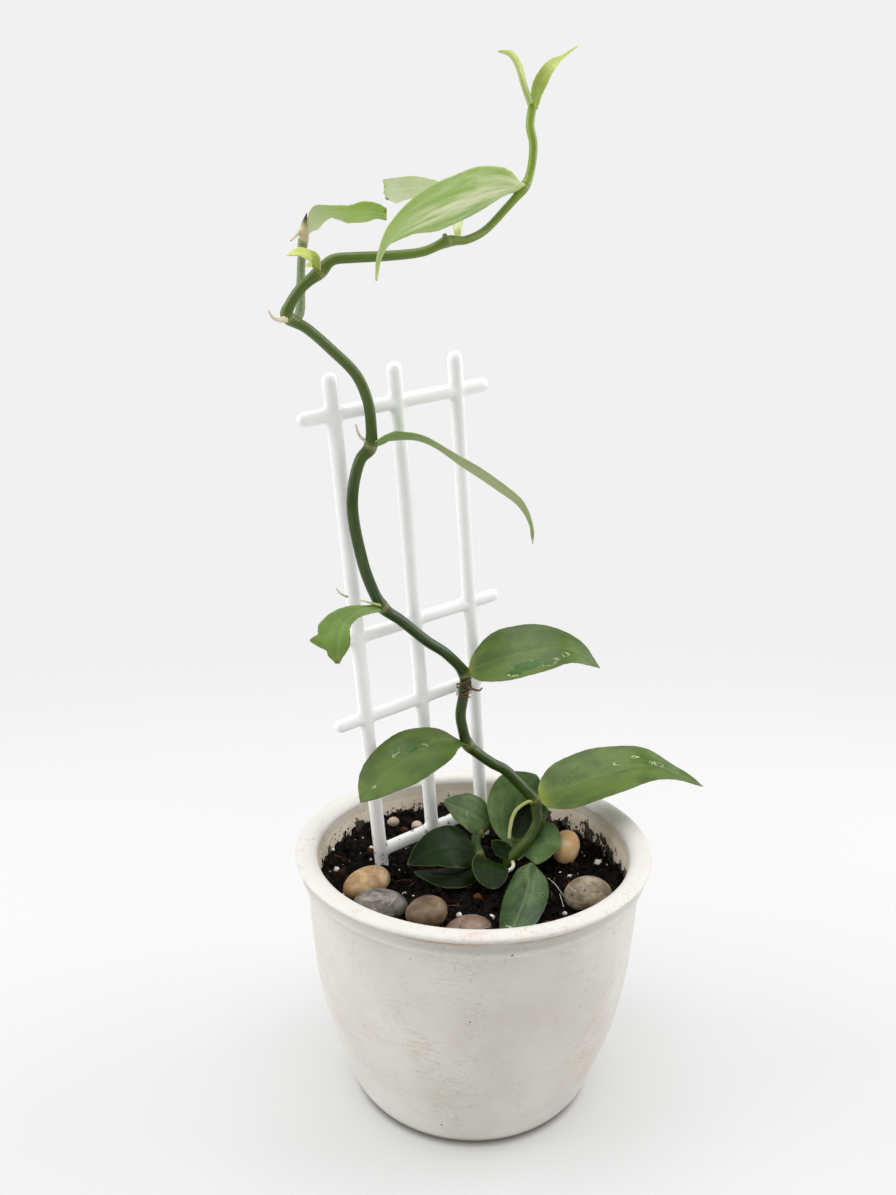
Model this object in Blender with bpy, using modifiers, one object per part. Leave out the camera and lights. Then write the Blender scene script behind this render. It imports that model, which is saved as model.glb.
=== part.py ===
"""A potted vanilla orchid: a whitewashed pot of soil with pebbles, a white trellis and the climbing plant.

The model stands in its own frame: +Z up, +X along the trellis's cross bars, the origin at the middle of the
pot's flat underside. Lengths are named in millimetres and become metres where a mesh is made.
"""

import math
from dataclasses import dataclass, replace

import bmesh
import bpy
import numpy as np
from mathutils import Matrix, Vector

MM = 0.001
GAP = 0.3

# Pot
RIM_RADIUS = 80.0
POT_HEIGHT = 117.0
FOOT_RADIUS = 51.5
WALL = 5.0
FLOOR = 8.0
TURN_STEPS = 48
DRAIN_RADIUS = 4.0
DRAIN_RING = 22.0
DRAIN_COUNT = 3
BODY_CURVE = ((8, 56.9), (20, 61.0), (35, 66.3), (55, 70.7), (75, 73.1), (95, 74.5), (104, 74.8))
COLLAR = ((106, 77.0), (109, 77.6), (112.3, 76.6))
LIP = ((113, 78.5), (114.6, RIM_RADIUS), (116.3, 79.0), (POT_HEIGHT, 76.5), (116.6, 73.5), (115, 71.0), (112, 70.3))

# Soil
SOIL_TOP = 97.0
SOIL_RINGS = 7
SOIL_BUMP = 0.8
SOIL_BACK_RISE = 4.0

# Trellis
BAR_CROSSING = (-30.18, 32.6, 105.0)
TRELLIS_TILT = 6.08
TRELLIS_LEAN = -8.52
POST_PITCH = 28.4
POST_COUNT = 3
POST_RADIUS = 3.25
POST_TOP = 220.0
LEG_DEPTH = 44.0
BAR_RADIUS = 3.05
BAR_HEIGHTS = (0.0, 71.9, 110.8, 207.0)
BAR_OVERHANG = 12.5
HOLE_TOP = 20.0
ROD_SIDES = 10
ROD_CAP_RINGS = 3

# Stems
STEM_BEVEL = 2
STEM_STEP = 6.0
NODE_LENGTH = 3.2

# Leaves
BLADE = 1.1
YOUNG_BLADE = 0.9
MARGIN = 0.4
RIB_STEP = 0.5
LARGE_GRID = (15, 6)
SMALL_GRID = (11, 4)

MATERIALS = {
    "whitewashed_ceramic": ((0.80, 0.77, 0.73), 0.55),
    "potting_soil": ((0.030, 0.020, 0.014), 0.95),
    "white_plastic": ((0.86, 0.87, 0.88), 0.30),
    "old_stem": ((0.090, 0.170, 0.050), 0.45),
    "dark_leaf": ((0.055, 0.130, 0.045), 0.38),
    "mature_leaf": ((0.100, 0.230, 0.060), 0.38),
    "pale_leaf": ((0.360, 0.520, 0.220), 0.42),
    "young_leaf": ((0.400, 0.560, 0.140), 0.45),
    "green_root": ((0.560, 0.600, 0.300), 0.60),
    "dried_root": ((0.550, 0.450, 0.330), 0.80),
    "tan_pebble": ((0.450, 0.330, 0.220), 0.50),
    "grey_pebble": ((0.200, 0.190, 0.180), 0.50),
    "brown_pebble": ((0.230, 0.170, 0.120), 0.50),
    "orange_pebble": ((0.600, 0.360, 0.190), 0.50),
    "pale_chip": ((0.700, 0.640, 0.560), 0.70),
}


@dataclass
class Stem:
    """A round shoot: its route, its radius at both ends and the places where a node thickens it."""

    route: tuple
    radii: tuple
    nodes: tuple = ()
    swelling: float = 0.5


@dataclass
class Leaf:
    """A blade grown along its midrib.

    Its breadth comes from width, peak, full, stalk and neck by the formula in blade_points, or else from flanks: the
    left and the right half's breadth at even steps from stalk to tip. Roll turns it about the midrib, in degrees at
    even steps.
    """

    rib: tuple
    face: tuple
    width: float = 0.0
    fold: float = 8.0
    peak: float = 0.8
    full: float = 0.8
    stalk: float = 0.04
    neck: float = 2.0
    flanks: tuple = ()
    roll: tuple = (0.0, 0.0)
    blade: float = BLADE
    reach: float = 1.0
    grid: tuple = SMALL_GRID
    finish: str = "dark_leaf"
    on: str = "vine_stem"


@dataclass
class Pebble:
    """A water-worn stone: its centre, half its three lengths, its turn about Z and its finish."""

    centre: tuple
    half: tuple
    turn: float
    finish: str


VINE = Stem(
    route=(
        (23, 4, 80), (22, 3, 90), (21, 1, 99), (26, 0, 105), (32, 0, 109), (37, 1, 115), (38, 3, 120),
        (38, 5, 125), (31, 8, 134), (25, 11, 141), (19, 13, 145), (13, 15, 150), (7, 16, 156), (4, 16, 165),
        (3, 16, 172), (4, 15, 182), (4, 15, 191), (-6, 14, 202), (-17, 13, 210), (-30, 12, 221),
        (-40, 11, 229), (-47, 10, 242), (-52, 8, 256), (-55, 7, 270), (-55, 6, 281), (-53, 4, 291),
        (-49, 3, 296), (-49, 2, 304), (-51, 1, 314), (-57, -1, 324), (-68, -3, 333), (-78, -5, 340),
        (-86, -6, 344), (-86, -8, 348), (-83, -12, 354), (-78, -16, 359), (-74, -18, 363), (-67, -20, 364),
        (-55, -22, 365), (-41, -23, 367), (-31, -24, 371), (-23, -24, 372), (-14, -23, 376), (-5, -23, 384),
        (3, -23, 392), (6, -23, 398), (7, -23, 407), (6, -22, 414), (7, -22, 421),
    ),
    radii=(2.8, 2.6, 2.4, 2.4, 2.4, 2.3, 1.9, 1.8, 1.3, 1.3),
    nodes=((38, 5, 125), (7, 16, 156), (4, 15, 191), (-40, 11, 229), (-49, 3, 296), (-86, -6, 344),
           (-78, -16, 359), (-31, -24, 371), (3, -23, 392), (7, -22, 420)),
)
SIDE_SHOOTS = {
    "back_shoot": Stem(
        route=((-84, -5, 342), (-80, -3, 346), (-78, 0, 356), (-77, 1, 364), (-76, 1, 373), (-76, 1, 379)),
        radii=(1.7, 1.6, 1.5, 1.0),
    ),
    "pink_stub": Stem(route=((-86, -6, 344), (-89, -8, 343), (-93, -10, 343.5), (-95.5, -11, 346)),
                      radii=(1.7, 1.1, 0.9, 0.7)),
    "node_spur": Stem(route=((-31, -24, 371), (-33, -24.5, 373), (-34, -25, 375)), radii=(1.3, 1.0, 0.7)),
    "top_rootlet": Stem(route=((-76, 1, 375), (-79, 0, 372.5), (-82, -1, 370)), radii=(0.9, 0.8, 0.6)),
}
BASAL = Stem(
    route=((11, 4, 82), (11, 5, 90), (11, 6, 97), (10, 10, 102), (11, 14, 106), (15, 17, 109), (19, 17, 111),
           (22, 18, 113)),
    radii=(2.4, 2.4, 2.3, 1.6),
    nodes=((10, 10, 102), (15, 17, 109)),
)

LEAVES = {
    "leaf_right_low": Leaf(
        rib=((38, 5, 125), (50, -2, 130), (70, -11, 137), (89, -18, 139), (104, -24, 133), (113, -31, 128)),
        face=(0.1, -0.3, 1.0), width=37, fold=9, peak=0.55, stalk=0.03, grid=LARGE_GRID, finish="mature_leaf"),
    "leaf_left_low": Leaf(
        rib=((7, 16, 156), (-9, 12, 163), (-26, 7, 162), (-43, 6, 155), (-56, 2, 148)),
        face=(-0.2, -0.3, 0.9), width=30, fold=3, peak=1.1, grid=LARGE_GRID, finish="mature_leaf"),
    "leaf_right_mid": Leaf(
        rib=((4, 15, 191), (14, 7, 197), (25, 0, 201), (39, -6, 203), (49, -10, 200), (58, -15, 193)),
        face=(0.1, -0.5, 0.9), width=34, fold=8, peak=0.66, grid=LARGE_GRID, finish="mature_leaf"),
    "leaf_eaten": Leaf(
        rib=((-40, 11, 229), (-54, 4, 230), (-62, 2, 227), (-66, 0, 220), (-66.3, 0, 211.5)),
        face=(-0.5, -0.7, 0.4), fold=2,
        flanks=((1.2, 1.4, 1.6, 1.8, 2.1, 2.5, 3.3, 4.2, 5.1, 6.3, 7.9, 9.7, 9.1, 11.0, 4.6, 3.8, 1.2),
                (2.0, 2.1, 2.2, 2.2, 2.2, 2.2, 2.0, 1.9, 2.4, 2.8, 3.1, 4.0, 4.9, 5.0, 4.0, 2.3, 1.0)),
        grid=LARGE_GRID, finish="mature_leaf"),
    "leaf_long": Leaf(
        rib=((-49, 3, 296), (-42.6, 1.5, 299.3), (-38.1, 0.5, 300.4), (-27.2, -2.5, 298.4), (-12.4, -8, 288.9),
             (3.4, -12, 278.4), (11.8, -14, 271.3), (16.4, -15.5, 262.6), (17.2, -16, 254.4)),
        face=(0.02, 0.1, 1.0), fold=2, roll=(-21, -16, -10, -8, -6, -4, -1, 4, 4),
        flanks=((2.0, 5.5, 3.9, 4.0, 4.4, 5.0, 5.4, 5.6, 5.2, 4.6, 4.0, 1.6, 0.5),
                (2.0, 8.5, 7.7, 6.5, 5.5, 5.9, 6.4, 6.9, 7.6, 7.2, 4.9, 2.2, 0.5)),
        grid=LARGE_GRID, finish="mature_leaf"),
    "leaf_upper": Leaf(
        rib=((2.6, -23, 391.8), (-7.1, -27, 390.3), (-20, -31, 386.7), (-35.7, -37, 381.9), (-48.1, -42, 377.5),
             (-58.4, -46, 373.4), (-65.9, -49, 369.6), (-70.8, -51, 366), (-74.6, -53, 361), (-76.5, -54, 354.4)),
        face=(-0.3, 0.6, 0.8), fold=5, roll=(0, 0, 0, 0, 2, 3, 7, 14, 14),
        flanks=((1.6, 4.1, 9.2, 12.8, 14.6, 14.6, 13.0, 11.1, 9.1, 7.2, 4.8, 1.8, 0.6, 0.5),
                (1.6, 3.6, 8.6, 11.9, 13.5, 14.6, 15.2, 15.3, 15.1, 13.8, 11.6, 7.0, 2.2, 0.5)),
        grid=LARGE_GRID, finish="pale_leaf"),
    "leaf_behind": Leaf(
        rib=((-26.4, -23.6, 371.9), (-24.2, -19.2, 376.1), (-23.2, -15.3, 381.3), (-26.2, -13.2, 386.6),
             (-31.6, -12.3, 389.3), (-36.7, -11, 390), (-41.2, -9.5, 389.7), (-47.2, -6.8, 388.6)),
        face=(0.3, 0.9, 0.2), fold=3, roll=(0, 0, 0, -12, -24, -30, -30, -30),
        flanks=((1.2, 1.3, 1.3, 2.2, 3.6, 4.6, 4.9, 4.6, 4.2, 4.8, 6.2, 3.6),
                (1.2, 1.6, 2.0, 3.8, 5.7, 5.7, 5.1, 4.4, 4.4, 4.5, 4.7, 4.6)),
        finish="pale_leaf"),
    "leaf_back_shoot": Leaf(
        rib=((-74.7, 1, 373.4), (-73.1, 0.3, 376.7), (-70.6, -0.5, 379.6), (-67.5, -2, 380.7), (-63.9, -4, 380.7),
             (-60.9, -6, 380.1), (-57.3, -8, 380.6), (-53.9, -10.5, 380.8), (-50, -13, 380)),
        face=(-0.1, 0.4, 0.9), fold=6,
        flanks=((1.6, 2.0, 4.9, 5.5, 4.7, 4.2, 4.1, 5.1, 6.0, 6.0, 6.2, 6.2, 5.8, 4.0),
                (1.6, 6.0, 9.5, 10.5, 9.0, 7.0, 9.8, 12.0, 10.6, 9.9, 9.3, 7.8, 7.0, 6.5)),
        finish="young_leaf"),
    "leaf_curled": Leaf(
        rib=((-78, -16, 359), (-84, -21, 363), (-89, -23, 364), (-94, -25, 363)),
        face=(-0.7, -0.6, 0.4), width=6, fold=11, peak=0.8, neck=1.4, blade=YOUNG_BLADE, finish="young_leaf"),
    "leaf_tip_left": Leaf(
        rib=((5, -23, 421), (1, -24, 427), (-2, -25, 432), (-7, -27, 435), (-13, -28, 435)),
        face=(0.2, -0.9, 0.3), width=4, fold=8, peak=0.7, neck=1.3, blade=YOUNG_BLADE, finish="young_leaf"),
    "leaf_tip_right": Leaf(
        rib=((9, -21, 421), (11, -19, 427), (16, -19, 435), (25, -16, 441), (33, -15, 446)),
        face=(-0.4, -0.9, 0.1), width=5, fold=10, peak=0.5, neck=1.5, blade=YOUNG_BLADE, finish="young_leaf"),
    "leaf_foot_a": Leaf(
        rib=((10, 12, 104), (-4, 9, 110), (-17, 8, 112), (-30, 8, 109)),
        face=(-0.3, -0.6, 0.8), width=22, fold=4, peak=0.7, on="basal_shoot"),
    "leaf_foot_b": Leaf(
        rib=((20, 17, 111), (12, 18, 119), (4, 18, 124), (-4, 19, 129)),
        face=(-0.4, -0.6, 0.7), width=18, fold=2, peak=0.7, full=0.7, on="basal_shoot"),
    "leaf_foot_c": Leaf(
        rib=((23, 2, 101), (27, 7, 103), (32, 13, 112), (38, 16, 122), (47, 15, 132)),
        face=(0.0, -0.8, 0.5), width=34, fold=5, peak=1.1, full=0.7, stalk=0.12),
    "leaf_foot_d": Leaf(
        rib=((24, 0, 101), (29, 0, 102), (33, -3, 105), (37, -8, 108), (41, -13, 109)),
        face=(-0.2, -0.4, 0.9), width=24, fold=10, peak=1.3, full=0.6, stalk=0.15),
    "leaf_foot_e": Leaf(
        rib=((24, 0, 103), (19, 2, 105), (14, 5, 110)),
        face=(-0.5, -0.6, 0.6), width=8, fold=8, peak=0.85, full=0.6),
    "leaf_foot_f": Leaf(
        rib=((13, 4, 99.5), (9, -2, 104), (4, -8, 105), (0, -17, 100)),
        face=(-0.2, -0.6, 0.8), width=17, fold=6, peak=1.15, full=0.5, stalk=0.12, on="basal_shoot"),
    "leaf_foot_g": Leaf(
        rib=((9, 9, 99.5), (-1, 2, 100.4), (-13, 0, 101.8), (-24, 12, 101.8)),
        face=(0.0, -0.2, 1.0), width=15, fold=-4, peak=0.85, full=0.7, stalk=0.12, on="basal_shoot"),
    "leaf_foot_h": Leaf(
        rib=((29, -8, 93), (27, -10, 101), (19, -18, 106), (5, -35, 107), (-9, -47, 104), (-21, -56, 100)),
        face=(-0.3, -0.3, 0.9), width=19, fold=-8, peak=1.05, full=0.6, stalk=0.2),
    "leaf_foot_i": Leaf(
        rib=((27, 2, 107), (30, 6, 110), (34, 8, 115), (38, 9, 119), (41, 9, 123)),
        face=(-0.5, -0.8, 0.3), width=13, fold=16, peak=0.95, full=0.6),
}
PLANTED_LEAF = "leaf_foot_h"
PLANTED_LENGTH = 0.25

ROOTS = {
    "root_curled": Stem(route=((37, 4, 124), (33, 3, 126), (27, 3, 124), (24, 3, 120), (22, 2, 115), (21, 1, 111)),
                        radii=(1.1, 1.0, 1.0, 0.8)),
    "root_white": Stem(route=((22, 0, 100), (20, -4, 100.5), (18, -6, 100), (15, -6, 99)), radii=(0.9, 0.9, 0.8)),
    "root_high": Stem(route=((-49, 3, 297), (-53.5, 3, 300.5), (-55.5, 2.5, 305)), radii=(0.8, 0.7, 0.6)),
    "root_wrap": Stem(route=((4, 15, 186), (5, 11, 185), (8, 9, 184), (10, 9, 185)), radii=(0.9, 0.8, 0.6)),
}
ROOT_FINISH = {"root_curled": "green_root", "root_white": "pale_chip"}

PEBBLES = {
    "pebble_tan": Pebble((-46, 16, 101), (12.4, 8, 6.5), 20, "tan_pebble"),
    "pebble_grey": Pebble((-50, -3, 100), (12, 8.5, 6.5), -30, "grey_pebble"),
    "pebble_brown": Pebble((-36, -19, 101), (9.5, 8, 7.2), 10, "brown_pebble"),
    "pebble_front": Pebble((-24, -34, 98.5), (11, 7.5, 5.5), -20, "brown_pebble"),
    "pebble_orange": Pebble((49, -6, 102), (8, 7, 8), 30, "orange_pebble"),
    "pebble_right": Pebble((31, -44, 101), (10.5, 8.5, 7.5), -25, "brown_pebble"),
    "chip_left": Pebble((-7, 62, 101), (3.2, 2.6, 2.4), 0, "pale_chip"),
    "chip_right": Pebble((3, 55, 99.5), (3.2, 2.6, 2.4), 40, "pale_chip"),
}
PEBBLE_SIDES = 12
CHIP_SIZE = 5.0


def material(name):
    """The finish of that name."""
    found = bpy.data.materials.get(name)
    if found:
        return found
    colour, roughness = MATERIALS[name]
    found = bpy.data.materials.new(name)
    found.use_nodes = True
    shader = found.node_tree.nodes["Principled BSDF"]
    shader.inputs["Base Color"].default_value = (*colour, 1.0)
    shader.inputs["Roughness"].default_value = roughness
    shader.inputs["Metallic"].default_value = 0.0
    return found


def new_collection(name):
    """A new collection linked to the scene."""
    group = bpy.data.collections.new(name)
    bpy.context.scene.collection.children.link(group)
    return group


def add_object(name, data, group, finish=None):
    """An object around that data, linked to one collection."""
    obj = bpy.data.objects.new(name, data)
    group.objects.link(obj)
    if finish:
        data.materials.append(material(finish))
    return obj


def hide_cutter(obj):
    """Leave a cutter out of renders and draw it as wires."""
    obj.hide_render = True
    obj.display_type = "WIRE"
    return obj


def bake(obj, name, group, finish=None):
    """Replace an object by a plain mesh object of its evaluated shape, with coincident points merged."""
    bpy.context.view_layer.update()
    shaped = obj.evaluated_get(bpy.context.evaluated_depsgraph_get())
    mesh = bpy.data.meshes.new_from_object(shaped)
    mesh.transform(obj.matrix_world)
    mesh.materials.clear()
    body = bmesh.new()
    body.from_mesh(mesh)
    bmesh.ops.remove_doubles(body, verts=body.verts, dist=0.00002)
    body.to_mesh(mesh)
    body.free()
    bpy.data.objects.remove(obj)
    mesh.name = name
    return add_object(name, mesh, group, finish)


def boolean(obj, operation, other):
    """Add a Boolean modifier whose operand is an object or a collection."""
    cut = obj.modifiers.new(operation.title(), "BOOLEAN")
    cut.operation = operation
    if isinstance(other, bpy.types.Collection):
        cut.operand_type = "COLLECTION"
        cut.collection = other
    else:
        cut.object = other


def unite(pieces, name, group, finish=None):
    """Join overlapping closed bodies into one body by a Boolean union."""
    rest = new_collection(name + "_pieces")
    for piece in pieces[1:]:
        for old in piece.users_collection:
            old.objects.unlink(piece)
        rest.objects.link(piece)
    boolean(pieces[0], "UNION", rest)
    joined = bake(pieces[0], name, group, finish)
    for piece in list(rest.objects):
        bpy.data.objects.remove(piece)
    bpy.data.collections.remove(rest)
    return joined


def turned(name, profile, steps, group, finish=None):
    """A body turned about Z from (radius, height) points that run down its outer side."""
    mesh = bpy.data.meshes.new(name)
    mesh.from_pydata([(r * MM, 0, z * MM) for r, z in profile], [(i, i + 1) for i in range(len(profile) - 1)], [])
    obj = add_object(name, mesh, group, finish)
    screw = obj.modifiers.new("Screw", "SCREW")
    screw.steps = steps
    screw.render_steps = steps
    screw.use_merge_vertices = True
    screw.merge_threshold = 0.00002
    return obj


def smooth_route(points, step):
    """Points along a Catmull-Rom curve through the given ones, about a step apart, as an array."""
    knots = np.array(points, float)
    knots = np.vstack([2 * knots[0] - knots[1], knots, 2 * knots[-1] - knots[-2]])
    dense = []
    for a, b, c, d in zip(knots, knots[1:], knots[2:], knots[3:]):
        t = np.linspace(0, 1, 24, endpoint=False)[:, None]
        dense.append(0.5 * (2 * b + (c - a) * t + (2 * a - 5 * b + 4 * c - d) * t ** 2
                            + (3 * b - a - 3 * c + d) * t ** 3))
    dense = np.vstack(dense + [knots[-2:-1]])
    along = np.r_[0, np.cumsum(np.linalg.norm(np.diff(dense, axis=0), axis=1))]
    count = max(3, round(along[-1] / step) + 1)
    even = np.linspace(0, along[-1], count)
    return np.stack([np.interp(even, along, dense[:, k]) for k in range(3)], 1)


def shoot(name, stem, group, finish=None, grow=0.0):
    """A round shoot along a stem's route, thicker at its nodes and by grow all round."""
    route = smooth_route(stem.route, STEM_STEP)
    route[0] += grow * (route[0] - route[1]) / np.linalg.norm(route[0] - route[1])
    route[-1] += grow * (route[-1] - route[-2]) / np.linalg.norm(route[-1] - route[-2])
    count = len(route)
    radius = np.interp(np.linspace(0, 1, count), np.linspace(0, 1, len(stem.radii)), stem.radii)
    for node in stem.nodes:
        reach = np.linalg.norm(route - np.array(node, float), axis=1)
        radius += stem.swelling * np.exp(-(reach / NODE_LENGTH) ** 2)
    curve = bpy.data.curves.new(name, "CURVE")
    curve.dimensions = "3D"
    curve.bevel_depth = MM
    curve.bevel_resolution = STEM_BEVEL
    curve.render_resolution_u = 0
    curve.use_fill_caps = True
    spline = curve.splines.new("POLY")
    spline.points.add(count - 1)
    for point, place, size in zip(spline.points, route * MM, radius + grow):
        point.co = (*place, 1.0)
        point.radius = size
    return bake(add_object(name, curve, group), name, group, finish)


def rod(name, start, end, radius, group):
    """A round rod with domed ends, from one point to another."""
    start, end = Vector(start) * MM, Vector(end) * MM
    length = (end - start).length / MM
    arc = [(radius * math.sin(a), radius * math.cos(a)) for a in np.linspace(0, math.pi / 2, ROD_CAP_RINGS + 1)]
    upper = [(r, length + z) for r, z in arc]
    lower = [(r, -z) for r, z in reversed(arc)]
    obj = turned(name, upper + lower, ROD_SIDES, group)
    obj.matrix_world = Matrix.Translation(start) @ (end - start).to_track_quat("Z", "Y").to_matrix().to_4x4()
    return bake(obj, name, group)


def build_pot(group, cutters):
    """The pot: a bowl with a collar, a rolled lip, a flat underside and drain holes in its floor."""
    inner = [(0, FLOOR), (FOOT_RADIUS - WALL - 2, FLOOR), (FOOT_RADIUS - WALL + 3, FLOOR + 4)]
    inner += [(r - WALL, z) for z, r in BODY_CURVE[1:-1]] + [(70, 104)]
    lip = [(r, z) for z, r in reversed(LIP)]
    outer = [(r, z) for z, r in reversed(BODY_CURVE + COLLAR)]
    foot = [(FOOT_RADIUS + 1.6, 2.0), (FOOT_RADIUS, 0.5), (FOOT_RADIUS - 1.5, 0), (0, 0)]
    pot = turned("pot", inner + lip + outer + foot, TURN_STEPS, group, "whitewashed_ceramic")
    for i in range(DRAIN_COUNT):
        angle = 2 * math.pi * i / DRAIN_COUNT
        bpy.ops.mesh.primitive_cylinder_add(
            vertices=16, radius=DRAIN_RADIUS * MM, depth=4 * FLOOR * MM,
            location=(DRAIN_RING * math.cos(angle) * MM, DRAIN_RING * math.sin(angle) * MM, 0))
        drain = bpy.context.object
        drain.name = f"drain_{i + 1}"
        for old in drain.users_collection:
            old.objects.unlink(drain)
        cutters.objects.link(hide_cutter(drain))
        boolean(pot, "DIFFERENCE", drain)
    return pot


def inner_radius(height):
    """The pot's inner radius at a height above its floor's corner."""
    heights = [FLOOR + 4] + [z for z, _ in BODY_CURVE[1:-1]] + [104]
    radii = [FOOT_RADIUS - WALL + 3] + [r - WALL for _, r in BODY_CURVE[1:-1]] + [70]
    return float(np.interp(height, heights, radii))


def soil_relief(x, y):
    """Height of the soil's surface above SOIL_TOP: low waves, and a bank against the pot's back wall."""
    waves = np.sin(0.21 * x + 1.0) * np.cos(0.27 * y) + 0.6 * np.sin(0.43 * x - 0.38 * y + 2.0)
    edge = np.clip((np.hypot(x, y) - 50) / 18, 0, 1)
    back = np.clip(y / 60, 0, 1)
    return SOIL_BUMP * 0.6 * waves + SOIL_BACK_RISE * edge * back


def build_soil(group, holes):
    """The soil that fills the pot, with its lumpy top, a hole for each stem and leg and a seat for each pebble."""
    wall = inner_radius(SOIL_TOP) - GAP
    top = [(wall * i / SOIL_RINGS, SOIL_TOP) for i in range(SOIL_RINGS + 1)]
    side = [(inner_radius(z) - GAP, z) for z in (75, 55, 35, 20)]
    low = [(FOOT_RADIUS - WALL + 2.2, FLOOR + 4 + GAP), (FOOT_RADIUS - WALL - 2.2, FLOOR + GAP), (0, FLOOR + GAP)]
    soil = bake(turned("soil", top + side + low, TURN_STEPS, group), "soil", group, "potting_soil")
    for vertex in soil.data.vertices:
        if vertex.co.z > (SOIL_TOP - 1) * MM:
            vertex.co.z += soil_relief(vertex.co.x / MM, vertex.co.y / MM) * MM
    for hole in holes:
        boolean(soil, "DIFFERENCE", hole)
    return soil


def trellis_place(across, up):
    """A point of the trellis's plane, in millimetres, from its distances along the bars and up the posts."""
    turn = (Matrix.Rotation(math.radians(TRELLIS_TILT), 3, "X") @ Matrix.Rotation(math.radians(TRELLIS_LEAN), 3, "Y"))
    return Vector(BAR_CROSSING) + turn @ Vector((across, 0, up))


def build_trellis(group, cutters):
    """The trellis, three posts and four bars in one moulding, and the posts' holes in the soil."""
    width = POST_PITCH * (POST_COUNT - 1)
    rods = []
    holes = []
    for i in range(POST_COUNT):
        foot, top = trellis_place(i * POST_PITCH, -LEG_DEPTH), trellis_place(i * POST_PITCH, POST_TOP)
        rods.append(rod(f"post_{i + 1}", foot, top, POST_RADIUS, group))
        holes.append(hide_cutter(rod(f"post_hole_{i + 1}", foot, trellis_place(i * POST_PITCH, HOLE_TOP),
                                     POST_RADIUS + GAP, cutters)))
    for i, height in enumerate(BAR_HEIGHTS):
        over = BAR_OVERHANG if height else 0.0
        rods.append(rod(f"bar_{i + 1}", trellis_place(-over, height), trellis_place(width + over, height),
                        BAR_RADIUS, group))
    unite(rods, "trellis", group, "white_plastic")
    return holes


def build_stems(group, cutters):
    """The vine with its side shoots, the basal shoot, and a slightly larger copy of each to cut with."""
    vine = [shoot("vine_stem", VINE, group)]
    vine += [shoot(name, stem, group) for name, stem in SIDE_SHOOTS.items()]
    unite(vine, "vine_stem", group, "old_stem")
    grown = [shoot("vine_cutter", VINE, cutters, grow=GAP)]
    grown += [shoot(name + "_cutter", stem, cutters, grow=GAP) for name, stem in SIDE_SHOOTS.items()]
    shoot("basal_shoot", BASAL, group, "old_stem")
    return {
        "vine_stem": hide_cutter(unite(grown, "vine_cutter", cutters)),
        "basal_shoot": hide_cutter(shoot("basal_cutter", BASAL, cutters, grow=GAP)),
    }


def blade_points(leaf, t, s, grow=0.0):
    """Points of a blade's middle surface.

    t runs from 0 at the base to 1 at the tip and s from -1 to 1 across. The midrib is a smooth curve. Without
    flanks the half breadth is width / 2 * sin(pi * x ** peak) ** full with x measured past the stalk, and never
    under the stalk's own. Both halves turn up from the midrib by fold degrees at the margin.
    """
    rib = smooth_route(leaf.rib, RIB_STEP)
    tangent = np.gradient(rib, axis=0)
    tangent /= np.linalg.norm(tangent, axis=1, keepdims=True)
    t = t * leaf.reach
    along = np.linspace(0, 1, len(rib))
    middle = np.stack([np.interp(t, along, rib[:, k]) for k in range(3)], -1)
    forward = np.stack([np.interp(t, along, tangent[:, k]) for k in range(3)], -1)
    across = np.cross(leaf.face, forward)
    across /= np.linalg.norm(across, axis=-1, keepdims=True)
    normal = np.cross(forward, across)
    roll = np.radians(np.interp(t, np.linspace(0, 1, len(leaf.roll)), leaf.roll))[..., None]
    across, normal = across * np.cos(roll) + normal * np.sin(roll), normal * np.cos(roll) - across * np.sin(roll)
    if leaf.flanks:
        left, right = (np.interp(t, np.linspace(0, 1, len(flank)), flank) for flank in leaf.flanks)
        breadth = np.where(s < 0, left, right) + grow
    else:
        x = np.clip((t - leaf.stalk) / (1 - leaf.stalk), 0, 1)
        breadth = leaf.width / 2 * np.clip(np.sin(math.pi * x ** leaf.peak), 0, 1) ** leaf.full
        breadth = np.maximum(breadth, leaf.neck * np.clip(1 - t / 0.5, 0, 1) + MARGIN) + grow
    turn = np.radians(leaf.fold) * np.abs(s)
    return (middle + across * (breadth * s * np.cos(turn))[..., None]
            + normal * (breadth * np.abs(s) * np.sin(turn))[..., None])


def blade_object(name, leaf, group, finish=None, grow=0.0):
    """A leaf's closed blade: a grid laid on its formula, split into triangles and given its thickness."""
    rows, lanes = leaf.grid
    body = bmesh.new()
    bmesh.ops.create_grid(body, x_segments=rows, y_segments=lanes, size=1.0)
    flat = np.array([vertex.co[:2] for vertex in body.verts])
    places = blade_points(leaf, (flat[:, 0] + 1) / 2, flat[:, 1], grow) * MM
    for vertex, place in zip(body.verts, places):
        vertex.co = place
    bmesh.ops.triangulate(body, faces=body.faces)
    mesh = bpy.data.meshes.new(name)
    body.to_mesh(mesh)
    body.free()
    obj = add_object(name, mesh, group, finish)
    thick = obj.modifiers.new("Thickness", "SOLIDIFY")
    thick.thickness = (leaf.blade + 2 * grow) * MM
    thick.offset = 0.0
    return obj


def build_leaves(group, grown):
    """Every leaf, cut clear of the shoot that carries it."""
    for name, leaf in LEAVES.items():
        obj = blade_object(name, leaf, group, leaf.finish)
        if name != PLANTED_LEAF:
            boolean(obj, "DIFFERENCE", grown[leaf.on])


def build_roots(group, grown):
    """The aerial roots and dried rootlets, cut clear of the vine."""
    for name, stem in ROOTS.items():
        root = shoot(name, stem, group, ROOT_FINISH.get(name, "dried_root"))
        boolean(root, "DIFFERENCE", grown["vine_stem"])


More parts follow.
